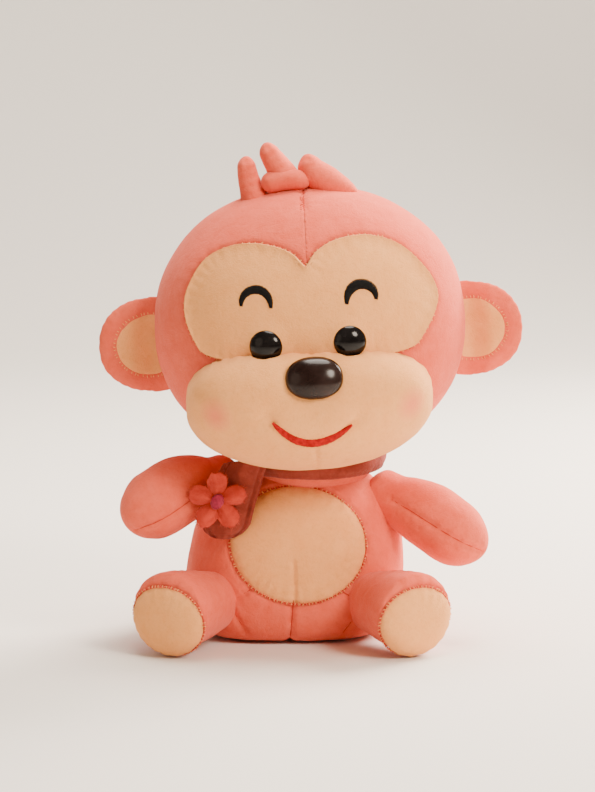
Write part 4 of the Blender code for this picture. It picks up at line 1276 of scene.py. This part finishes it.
def build_body(pink, cream, piles, seam_shade_red):
    """The two halves of the body's cover, the painted shade lines in its seams, and the belly on it."""
    units, faces = unit_sphere(7)
    points = body_world(units)
    tree = tree_of(points, faces)
    normals = outward(points, faces)
    outline = belly_outline()
    edge, edge_out = from_front(tree, outline[:, 0], outline[:, 1])
    moved = uneven(points, 0.55, 30.0, 0.14, 8.0, 31.0)
    moved += Seam(edge, True, 1.3 * MM, 1.7 * MM, 0.30 * MM, 6.0 * MM).offset(points)
    round_way = np.linspace(0.15, 6.13, 120)
    centre_line = body_world(np.column_stack([np.zeros(120), -np.sin(round_way), np.cos(round_way)]))
    moved += Seam(centre_line, False, 1.3 * MM, 1.4 * MM, 0.26 * MM, 6.0 * MM).offset(points)
    painted_shade_lines = [(centre_line, nearest_normals(tree, centre_line))]
    for line in BODY_SEAMS:
        place = rounded(np.array(line) * MM, 3, closed=False)
        on_body, out = from_front(tree, place[:, 0], place[:, 1])
        moved += Seam(on_body, False, 1.2 * MM, 1.4 * MM, 0.28 * MM, 5.0 * MM).offset(points)
        painted_shade_lines.append((on_body, out))
    # A dark red tube in each seam's groove: painted shade.
    for number, (line, out) in enumerate(painted_shade_lines):
        name = f"body_seam_shade_{number}"
        dark = painted_seam_shade(name, line, out, seam_shade_red, sunk=1.2 * MM, radius=0.20 * MM, closed=False)
        dress(dark, "body", "pink_velour")
    bed = in_outline(points[:, 0], points[:, 2], outline) & (points[:, 1] < 0.0)
    moved[bed] = np.minimum(moved[bed], -1.9 * MM)
    flat = points[:, 2] < 1.6 * MM
    moved[flat] = np.minimum(moved[flat], 0.0)
    whole = make_object("body_whole", points + normals * moved[:, None], faces)
    for name, sign in SIDES.items():
        side = Vector((1.0, 0.0, -BODY_LEAN)).normalized() * sign
        cover = half_cover(whole, f"body_{name}_cover", side * HALF_GAP * MM, side, pink)
        dress(cover, "body", "pink_velour", f"body_{name}_panel", fill=0.85)
    bpy.data.objects.remove(whole, do_unlink=True)
    build_belly(tree, outline, edge, edge_out, cream, piles, seam_shade_red)


def build_belly(tree, outline, edge, edge_out, cream, piles, seam_shade_red):
    """The belly's patch, the painted shade line in the seam round it and its two rows of pile."""
    places, patch_faces = disc_grid(outline, tuple(BELLY_MIDDLE), 40)
    patch, _ = from_front(tree, places[:, 0], places[:, 1])
    heights, away = patch_heights(patch, edge, -1.05 * MM, 0.75 * MM, 2.2 * MM)
    heights += uneven(patch, 0.5, 22.0, 0.12, 7.0, 33.0)
    rim = Seam(edge, True, 0.0, 2.4 * MM, 0.34 * MM, 6.0 * MM)
    heights += rim.offset(patch) * smooth_step(away, 0.0, 2.0 * MM)
    dart_places = np.column_stack([np.linspace(1.8, 2.4, 12), np.linspace(41.0, 22.0, 12)]) * MM
    dart, _ = from_front(tree, dart_places[:, 0], dart_places[:, 1])
    heights += Seam(dart, False, 1.2 * MM, 1.3 * MM, 0.30 * MM, 4.5 * MM).offset(patch)
    smooth_out = normals_of(patch, triangles(patch_faces))
    smooth_out[smooth_out[:, 1] > 0.0] *= -1.0
    patch = patch + smooth_out * heights[:, None]
    belly = closed_up(closed_patch("belly", patch, patch_faces, len(outline), 0.8 * MM, cream))
    dress(belly, "body", "cream_velour", "belly_patch", fill=0.7)
    # A dark red tube round the belly's seam: painted shade.
    dress(painted_seam_shade("belly_seam_shade", edge, edge_out, seam_shade_red), "body", "pink_velour")
    line = edge - edge_out * 0.35 * MM
    across = across_seam(line, edge_out, line.mean(axis=0))
    for tufts in pile_rows("belly_edge", line, edge_out, across, piles, 2.1 * MM):
        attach(tufts, "body")


# ---------------------------------------------------------------- arms, legs and soles

HANDS = {"right": (-66.5, -36.0, 67.5, 17.2), "left": (81.5, -29.0, 52.0, 16.4)}
ARM_BOW = {"right": 4.6, "left": 3.2}
SHOULDER_RISE = {"right": (3.0, -2.0, 2.4), "left": (0.0, 0.0, 0.0)}
ARM_SEAMS = {
    "right": [(-47.3, 71.5), (-58.0, 65.0), (-66.0, 61.0), (-74.2, 57.5)],
    "left": [(49.3, 69.0), (58.0, 65.0), (67.3, 60.0), (80.0, 53.0), (93.7, 46.0)],
}
ARM_ROOT = 12.6 * MM
LEG_ROOT = 12.5 * MM
LEG_LENGTH = 47.0 * MM
LEG_RADIUS = 21.2 * MM
LEG_END = 10.5 * MM
FOOT_SPLAY = math.radians(29.0)
FOOT_RISE = 1.6 * MM
GROUND_GAP = 0.4 * MM


def build_arms(pink, seam_shade_red):
    """Each arm: a bowed stuffed tube from inside the shoulder to the hand, with its seam in front and a
    painted shade line in that seam.
    """
    for name, sign in SIDES.items():
        shoulder = joint_place(f"{name}_arm_swing") + np.array(SHOULDER_RISE[name]) * MM
        *hand, radius = np.array(HANDS[name]) * MM
        hand = np.array(hand)
        along = (hand - shoulder) / np.linalg.norm(hand - shoulder)
        path = [
            shoulder - along * 9.0 * MM,
            shoulder + along * 6.0 * MM,
            (shoulder + hand) / 2.0 + np.array([0.0, 0.0, ARM_BOW[name] * MM]),
            hand,
            hand + along * radius,
        ]
        points, faces = loft(
            path, np.array([ARM_ROOT, ARM_ROOT * 1.05, radius, radius * 0.98, radius * 0.80]),
            sides=84, rings=110, ends=(0.6, 1.25),
        )
        tree = tree_of(points, faces)
        course = resample(np.array([(x * MM, 0.0, z * MM) for x, z in ARM_SEAMS[name]]), 1.0 * MM)
        hits = [first_hit(tree, x, z)[0] for x, _, z in course]
        line = np.array([np.array(place) for place in hits if place is not None])
        seams = [Seam(line, False, 1.2 * MM, 1.5 * MM, 0.30 * MM, 6.0 * MM)]
        arm = cloth(f"{name}_arm_cover", points, faces, pink, seams, 1.1, 41.0 + sign)
        out = nearest_normals(tree, line)
        out[out[:, 1] > 0.0] *= -1.0
        # A dark red tube in the arm's seam: painted shade.
        dark = painted_seam_shade(
            f"{name}_arm_seam_shade", line, out, seam_shade_red, sunk=1.05 * MM, radius=0.20 * MM, closed=False
        )
        for piece in (arm, dark):
            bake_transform(piece)
        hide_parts(f"{name}_arm", f"{name}_arm_filling")


def leg_points(units):
    """The leg's outside: a ball at the hip, a widening thigh and a blunt foot, along +Z."""
    bulk = np.hypot(units[:, 0], units[:, 1]) ** 2.5 + np.maximum(units[:, 2], 0.0) ** 2.5
    reach = np.maximum(bulk, 0.01) ** (-1.0 / 2.5)
    ahead = smooth_step(units[:, 2], -0.45, 0.55)
    radius = LEG_ROOT + (LEG_RADIUS * reach - LEG_ROOT) * ahead
    end = LEG_END * np.maximum(units[:, 2], 0.0) * reach
    depth = np.where(units[:, 2] > 0.0, end, units[:, 2] * LEG_ROOT)
    return np.column_stack([units[:, 0] * radius, units[:, 1] * radius, depth + LEG_LENGTH * ahead])


SOLE_START = 5.3 * MM
SOLE_TILT = 0.27


def foot_depth(reach):
    """How far the foot's blunt end stands out at a share of its radius."""
    return LEG_END * np.clip(1.0 - reach**2.5, 0.0, 1.0) ** (1.0 / 2.5)


def sole_ring(around):
    """The sole's edge on the foot: a slanting cut, lower over the toes than under the heel."""
    low, high = np.full(len(around), 0.1), np.ones(len(around))
    for _ in range(30):
        share = (low + high) / 2.0
        ahead = foot_depth(share) > SOLE_START + SOLE_TILT * share * LEG_RADIUS * np.sin(around)
        low = np.where(ahead, share, low)
        high = np.where(ahead, high, share)
    radius = low * LEG_RADIUS
    return np.column_stack([radius * np.cos(around), radius * np.sin(around), LEG_LENGTH + foot_depth(low)])


def build_legs(pink, cream, piles, seam_shade_red):
    """Each leg with its sole, the painted shade line in the seam round the sole and the pile along it."""
    units, faces = unit_sphere(7)
    for name, sign in SIDES.items():
        hip = joint_place(f"{name}_leg_lift")
        level = np.array([sign * math.sin(FOOT_SPLAY), -math.cos(FOOT_SPLAY), 0.0])
        along = level * LEG_LENGTH + np.array([0.0, 0.0, FOOT_RISE])
        along = along / np.linalg.norm(along)
        side = np.cross([0.0, 0.0, 1.0], along)
        side = side / np.linalg.norm(side)
        over = np.cross(along, side)
        turn = np.stack([side, over, along], axis=1)
        local = leg_points(units)
        points = local @ turn.T + hip
        points[:, 2] = np.maximum(points[:, 2], GROUND_GAP)
        around = np.linspace(0.0, 2.0 * math.pi, 200, endpoint=False)
        ring = sole_ring(around)
        edge = ring @ turn.T + hip
        edge[:, 2] = np.maximum(edge[:, 2], GROUND_GAP)
        top = np.array([[0.0, 0.0, k] for k in np.linspace(LEG_LENGTH * 0.25, LEG_LENGTH + 2.0 * MM, 40)])
        top[:, 1] = LEG_ROOT + (LEG_RADIUS - LEG_ROOT) * smooth_step(top[:, 2], 0.0, LEG_LENGTH)
        top_line = top @ turn.T + hip
        seams = [
            Seam(edge, True, 1.2 * MM, 1.6 * MM, 0.30 * MM, 6.0 * MM),
            Seam(top_line, False, 1.1 * MM, 1.5 * MM, 0.30 * MM, 6.0 * MM),
        ]
        normals = outward(points, faces)
        moved = 0.45 * MM * soft_noise(points, 24.0 * MM, 51.0 + sign)
        moved += 0.13 * MM * soft_noise(points, 7.0 * MM, 53.0 + sign)
        for seam in seams:
            moved += seam.offset(points)
        bed = local[:, 2] > LEG_LENGTH + SOLE_START + SOLE_TILT * local[:, 1]
        moved[bed] = np.minimum(moved[bed], -1.5 * MM)
        points = points + normals * moved[:, None]
        points[:, 2] = np.maximum(points[:, 2], GROUND_GAP)
        leg = closed_up(make_object(f"{name}_leg_cover", points, faces, pink))

        outline = ring[:, :2][::2]
        places, patch_faces = disc_grid(outline, (0.0, 0.0), 34)
        reach = np.hypot(places[:, 0], places[:, 1]) / LEG_RADIUS
        rise = LEG_LENGTH + foot_depth(reach)
        sole_points = np.column_stack([places, rise]) @ turn.T + hip
        sole_edge = ring[::2] @ turn.T + hip
        heights, _ = patch_heights(sole_points, sole_edge, -1.0 * MM, 0.4 * MM, 1.8 * MM)
        heights += 0.35 * MM * soft_noise(sole_points, 16.0 * MM, 55.0 + sign)
        rim = Seam(sole_edge, True, 0.0, 2.2 * MM, 0.30 * MM, 6.0 * MM)
        heights += rim.offset(sole_points)
        out = normals_of(sole_points, triangles(patch_faces))
        out[out @ along < 0.0] *= -1.0
        sole_points = sole_points + out * heights[:, None]
        sole_points[:, 2] = np.maximum(sole_points[:, 2], GROUND_GAP)
        sole = closed_up(
            closed_patch(f"{name}_sole_cover", sole_points, patch_faces, len(outline), 0.6 * MM, cream)
        )
        radial = ring * [1.0, 1.0, 0.0] / np.hypot(ring[:, 0], ring[:, 1])[:, None]
        edge_out = (radial * 0.75 + np.array([0.0, 0.0, 0.66])) @ turn.T
        edge_line = edge - edge_out * 0.75 * MM
        outwards = (radial * 0.66 - np.array([0.0, 0.0, 0.75])) @ turn.T
        # A dark red tube round the sole's seam: painted shade.
        seam = painted_seam_shade(f"{name}_sole_seam_shade", edge, edge_out, seam_shade_red, sunk=0.65 * MM)
        clear = edge_line[:, 2] > 1.6 * MM
        line = edge_line[clear] + edge_out[clear] * 0.35 * MM
        rows = pile_rows(f"{name}_sole", line, edge_out[clear], outwards[clear], piles, 2.1 * MM)
        for piece in (leg, sole, seam, *rows):
            remember_rest(piece)
            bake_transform(piece)
        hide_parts(f"{name}_leg", f"{name}_leg_filling")
        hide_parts(f"{name}_sole")


# ---------------------------------------------------------------- scarf and flower

BAND_INSET = 3.4 * MM
BAND_SNUG = 0.15
BAND_TILT = math.radians(3.5)


def build_scarf_band(rose):
    """The rolled band round the neck, closer and taller at the back than at the front."""
    low, high = box_of("scarf_band")
    centre = (low + high) / 2.0
    semi = (high - low) / 2.0 - np.array([BAND_INSET, BAND_INSET, 0.0])
    around_steps, sides = 240, 28
    points, faces = [], []
    for step in range(around_steps):
        around = 2.0 * math.pi * step / around_steps
        ring_out = np.array([math.cos(around), math.sin(around), 0.0])
        snug = 1.0 - BAND_SNUG * max(0.0, math.sin(around))
        middle = centre + ring_out * (semi * np.array([1.0, snug, 0.0]))
        middle[2] += math.sin(BAND_TILT) * math.sin(around) * semi[1]
        for k in range(sides):
            angle = 2.0 * math.pi * k / sides
            wide = 3.7 * MM * math.cos(angle)
            tall = (4.3 + 1.0 * max(0.0, math.sin(around))) * MM * math.sin(angle)
            fold = 0.55 * MM * math.sin(2.0 * angle + 2.5 * math.sin(around * 3.0))
            fold *= math.sin(around * 2.0 + 1.0)
            points.append(middle + ring_out * (wide + fold) + np.array([0.0, 0.0, tall + 0.9 * MM]))
        for k in range(sides):
            a, b = step * sides, ((step + 1) % around_steps) * sides
            after = (k + 1) % sides
            faces.append((a + k, b + k, b + after, a + after))
    points = np.array(points)
    ring = np.linspace(0.0, 2.0 * math.pi, 200, endpoint=False)
    snug = 1.0 - BAND_SNUG * np.clip(np.sin(ring), 0.0, 1.0)
    hem = centre + np.column_stack(
        [
            (semi[0] + BAND_INSET) * np.cos(ring),
            (semi[1] * snug + BAND_INSET) * np.sin(ring),
            np.full(200, -1.6 * MM),
        ]
    )
    hem[:, 2] += math.sin(BAND_TILT) * np.sin(ring) * semi[1]
    seams = [Seam(hem, True, 0.7 * MM, 0.9 * MM, 0.20 * MM, 3.6 * MM)]
    band = cloth("scarf_band_cloth", points, faces, rose, seams, 1.0, 61.0)
    dress(band, "body", "rose_velour", "scarf_band", fill=0.4)


CHEST_GAP = 3.8 * MM
TAIL_THICKNESS = 2.3 * MM


def build_scarf_tail(rose):
    """The scarf's hanging end, in front of the chest. Gives the points of its front."""
    pivot = joint_place("scarf_tail_lift")
    rows, columns = 90, 64
    heights = np.array([4.0, -2.0, -11.0, -20.0, -28.0, -35.0]) * MM
    middles = np.array([(2.4, 1.0), (-1.0, -0.3), (-3.6, 0.0), (-6.6, 0.8), (-8.4, 1.6), (-9.6, 2.6)]) * MM
    halves = np.array([11.8, 11.8, 11.8, 12.1, 12.0, 11.2]) * MM
    front, tri = [], []
    share = np.linspace(0.0, 1.0, rows)
    knots = np.linspace(0.0, 1.0, len(heights))
    z_line, x_line, y_line, half_line = (
        smoothed(np.interp(share, knots, values), 15)
        for values in (heights, middles[:, 0], middles[:, 1], halves)
    )
    round_end = np.sqrt(np.clip(1.0 - np.clip((share - 0.76) / 0.245, 0.0, 1.0) ** 2, 0.02, 1.0))
    half_line = half_line * round_end
    for row in range(rows):
        for column in range(columns):
            across = -1.0 + 2.0 * column / (columns - 1)
            spread = math.sin(across * math.pi / 2.0) * 0.15 + across * 0.85
            fold = 1.5 * MM * math.exp(-(((across + 0.15 - 0.5 * share[row]) / 0.22) ** 2))
            fold *= 1.0 - share[row] ** 2
            calm = round_end[row]
            wave = 0.9 * MM * math.sin(across * 3.1 + 2.0 * share[row]) * calm
            rim = 0.9 * MM * math.exp(-(((abs(across) - 0.87) / 0.09) ** 2)) * calm
            valley = 1.0 * MM * math.exp(-(((abs(across) - 0.70) / 0.07) ** 2)) * calm
            curl = 2.0 * MM * across**2 * calm
            front.append(
                (
                    x_line[row] + half_line[row] * spread,
                    y_line[row] - fold - wave + curl - rim + valley - 1.0 * MM,
                    z_line[row] + 1.8 * MM * across * (1.0 - share[row]),
                )
            )
    front = np.array(front) + pivot
    units, body_faces = unit_sphere(6)
    chest = tree_of(body_world(units), body_faces)
    pushed = np.zeros(rows)
    for number, point in enumerate(front):
        place, _ = first_hit(chest, point[0], point[2])
        if place is not None:
            row = number // columns
            pushed[row] = min(pushed[row], place[1] - CHEST_GAP - point[1])
    pushed = np.array([pushed[max(0, row - 7):row + 8].min() for row in range(rows)])
    front[:, 1] += np.repeat(smoothed(pushed, 15), columns)
    for row in range(rows - 1):
        for column in range(columns - 1):
            a = row * columns + column
            tri.append((a, a + columns, a + columns + 1, a + 1))
    normals = normals_of(front, triangles(tri))
    if normals[:, 1].mean() > 0.0:
        normals = -normals
    grid = front.reshape(rows, columns, 3)
    hem_line = np.vstack([grid[8:-6, 5], grid[-6, 5:-5], grid[8:-6, -6][::-1]])
    seam = Seam(hem_line, False, 0.55 * MM, 0.8 * MM, 0.22 * MM, 3.2 * MM)
    moved = seam.offset(front) + 0.25 * MM * soft_noise(front, 9.0 * MM, 63.0)
    front = front + normals * moved[:, None]
    back = front + np.array([0.0, TAIL_THICKNESS, 0.0])
    total = len(front)
    faces = tri + [tuple(total + i for i in reversed(f)) for f in tri]
    rim = (
        list(range(columns))
        + [row * columns + columns - 1 for row in range(1, rows)]
        + [(rows - 1) * columns + column for column in range(columns - 2, -1, -1)]
        + [row * columns for row in range(rows - 2, 0, -1)]
    )
    for i, a in enumerate(rim):
        b = rim[(i + 1) % len(rim)]
        faces.append((a, b, total + b, total + a))
    tail = closed_up(make_object("scarf_tail_cloth", np.vstack([front, back]), faces, rose))
    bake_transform(tail)
    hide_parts("scarf_tail")
    return front


def flower_place(tail_front):
    """The middle of the flower, on the scarf's hanging end and just in front of it."""
    flower_low, flower_high = box_of("flower")
    place = (flower_low + flower_high) / 2.0
    under = np.hypot(tail_front[:, 0] - place[0], tail_front[:, 2] - place[2]) < 9.0 * MM
    place[1] = min(flower_low[1] + 0.4 * MM, tail_front[under, 1].min() - 0.9 * MM)
    return place


NECK_GATHER = 11.0 * MM


def build_neck(pink):
    """The cover between the head and the body, gathered round the neck's stuffing."""
    low, high = box_of("neck_filling")
    middle = (low + high) / 2.0
    points, faces = unit_sphere(5)
    radius = (high[0] - low[0]) / 2.0 + NECK_GATHER
    points = middle + points * np.array([radius, radius, (high[2] - low[2]) / 2.0 - 4.0 * MM])
    ring = np.linspace(0.0, 2.0 * math.pi, 160, endpoint=False)
    gather = middle + np.column_stack([radius * np.cos(ring), radius * np.sin(ring), np.zeros(160)])
    seams = [Seam(gather, True, 0.5 * MM, 1.0 * MM, 0.25 * MM, 4.0 * MM)]
    neck = cloth("neck_cover", points, faces, pink, seams, 0.5, 67.0)
    dress(neck, "neck", "pink_velour", "neck_filling", fill=0.9)


PETALS = 5


def petal_wave(around):
    """1 or -1 along the middle of a petal and 0 between two petals."""
    return np.cos((around - math.pi / 2.0) * PETALS / 2.0)


def petal_outline(around):
    """The flower's edge: how far out it lies in each direction, in metres."""
    lobe = np.abs(petal_wave(around)) ** 0.62
    return (6.2 + 8.2 * lobe) * MM


def build_flower(place, coral, magenta):
    """A felt flower of five dished petals with a frayed edge, and the wound knot in its middle."""
    steps, rings = 400, 24
    around = np.linspace(0.0, 2.0 * math.pi, steps, endpoint=False)
    fray = np.convolve(RANDOM.random(steps) - 0.5, np.ones(5) / 3.0, mode="same") * 1.1 * MM
    reach = petal_outline(around) + fray
    front, faces = [np.array([0.0, 0.0, 0.0])], []
    for ring in range(1, rings + 1):
        share = ring / rings
        radius = reach * share
        lobe = petal_wave(around) ** 2
        cup = -2.4 * MM * np.sin(share * math.pi * 0.62) * lobe + 0.9 * MM * (1.0 - lobe) * share
        tip = 1.0 * MM * max(0.0, share - 0.7) * 3.0 * np.sin(around * 2.0 + 1.3)
        front.extend(np.column_stack([radius * np.cos(around), cup + tip, radius * np.sin(around)]))
    front = np.array(front)
    for i in range(steps):
        faces.append((0, 1 + i, 1 + (i + 1) % steps))
    for ring in range(rings - 1):
        a, b = 1 + ring * steps, 1 + (ring + 1) * steps
        for i in range(steps):
            after = (i + 1) % steps
            faces.append((a + i, b + i, b + after, a + after))
    front = front + place
    front[:, 1] += 0.22 * MM * soft_noise(front, 3.0 * MM, 71.0)
    flower = closed_up(closed_patch("flower_felt", front, faces, steps, 1.1 * MM, coral))
    threads = Threads()
    for i in range(0, steps, 2):
        turn = around[i] + RANDOM.uniform(-0.5, 0.5) * 0.02
        root = front[1 + (rings - 1) * steps + i] + np.array([0.0, RANDOM.uniform(-0.1, 1.0) * MM, 0.0])
        way = np.array([math.cos(turn), RANDOM.uniform(-0.5, 0.5), math.sin(turn)])
        way = way + RANDOM.uniform(-0.6, 0.6, 3)
        long = RANDOM.uniform(0.3, 1.7) * MM
        path = [root - way * 0.3 * MM, root + way * long * 0.5, root + way * long]
        threads.tube(path, [0.13 * MM, 0.10 * MM, 0.03 * MM], sides=4)
    fray_threads = threads.make("flower_fray", coral)
    knot_place = place + np.array([0.0, -1.6 * MM, 0.0])
    units, ball_faces = unit_sphere(5)
    tilt = math.radians(25.0)
    local = units * np.array([3.0, 1.9, 4.0]) * MM
    turned = np.column_stack(
        [
            local[:, 0] * math.cos(tilt) + local[:, 2] * math.sin(tilt),
            local[:, 1],
            -local[:, 0] * math.sin(tilt) + local[:, 2] * math.cos(tilt),
        ]
    )
    wound = 0.22 * MM * np.sin(units[:, 0] * 26.0 + 5.0 * units[:, 2])
    knot_points = turned * (1.0 + (wound / (3.4 * MM)))[:, None] + knot_place
    knot = make_object("flower_knot", knot_points, ball_faces, magenta)
    dress(flower, "scarf_tail", "coral_felt", "flower")
    dress(fray_threads, "scarf_tail", "coral_felt")
    dress(knot, "scarf_tail", "magenta_thread", "flower_centre")


# ---------------------------------------------------------------- everything together

def repaint_inside(filling, pellets, seat, washer):
    """Gives the pieces inside the cloth, and the seat panel, their own finish."""
    finishes = {
        "body_filling": filling, "head_filling": filling,
        "pellet_bag": pellets, "seat_panel": seat,
        "left_eye_washer": washer, "right_eye_washer": washer, "nose_washer": washer,
    }
    for node, finish in finishes.items():
        obj = bpy.data.objects[node]
        obj.data.materials.clear()
        obj.data.materials.append(finish)
        remember_rest(obj)


def main():
    cheek_spots = []
    for sign in (-1.0, 1.0):
        place = head_front(np.array([[sign * 46.8, -33.8]]) * MM, MUZZLE)[0]
        cheek_spots.append((place, 10.0 * MM, BLUSH, 0.75))
    pink = velour("pink_velour", PINK, PINK_DEEP, PINK_LIGHT)
    cream = velour("cream_velour", CREAM, CREAM_DEEP, CREAM_LIGHT)
    cream_cheeks = velour("cream_velour_blushed", CREAM, CREAM_DEEP, CREAM_LIGHT, spots=cheek_spots)
    rose = velour("rose_velour", ROSE, ROSE_DEEP, ROSE_LIGHT)
    coral = velour("coral_felt", CORAL, CORAL_DEEP, CORAL_LIGHT, pile=2100.0, wear=0.45)
    cream_pile = velour("cream_pile", CREAM, CREAM_DEEP, CREAM_LIGHT, fluff=0.4)
    pink_pile = velour("pink_pile", PINK, PINK_DEEP, PINK_LIGHT, fluff=0.4)
    piles = (cream_pile, pink_pile)
    # Painted shade for the lines laid in the bottoms of the seams.
    seam_shade_red = velour("seam_shade_red", SEAM_SHADE_RED, SEAM_SHADE_RED, SEAM_SHADE_RED, fluff=0.3, sheen=0.0)
    magenta = thread("magenta_thread", (0.40, 0.014, 0.055))
    black_thread = thread("black_thread", (0.006, 0.005, 0.005), gloss=0.62, sheen=0.0)
    red_thread = thread("red_thread", (0.56, 0.003, 0.003), gloss=0.6, sheen=0.0)
    black = plastic("black_plastic", (0.003, 0.002, 0.002), 0.13, 0.05)
    brown = plastic("brown_plastic", (0.009, 0.003, 0.002), 0.20, 0.05)

    build_head(pink, seam_shade_red)
    forehead_stitches(pink_pile)
    build_face(cream)
    build_muzzle(cream_cheeks)
    face_edge_tufts(piles, seam_shade_red)
    build_eyes_and_nose(black, brown)
    build_brows(black_thread)
    build_mouth(red_thread)
    build_ears(pink, cream, cream_pile)
    build_hair(pink)
    build_body(pink, cream, piles, seam_shade_red)
    build_arms(pink, seam_shade_red)
    build_legs(pink, cream, piles, seam_shade_red)
    build_scarf_band(rose)
    tail_front = build_scarf_tail(rose)
    build_flower(flower_place(tail_front), coral, magenta)
    build_neck(pink)
    repaint_inside(
        fibre("filling_fibre", (0.80, 0.78, 0.74)),
        fibre("pellet_cloth", (0.62, 0.60, 0.55)),
        velour("seat_velour", PINK, PINK_DEEP, PINK_LIGHT),
        plastic("washer_plastic", (0.55, 0.55, 0.55), 0.35, 0.1),
    )
    add_camera()
    add_studio()


main()
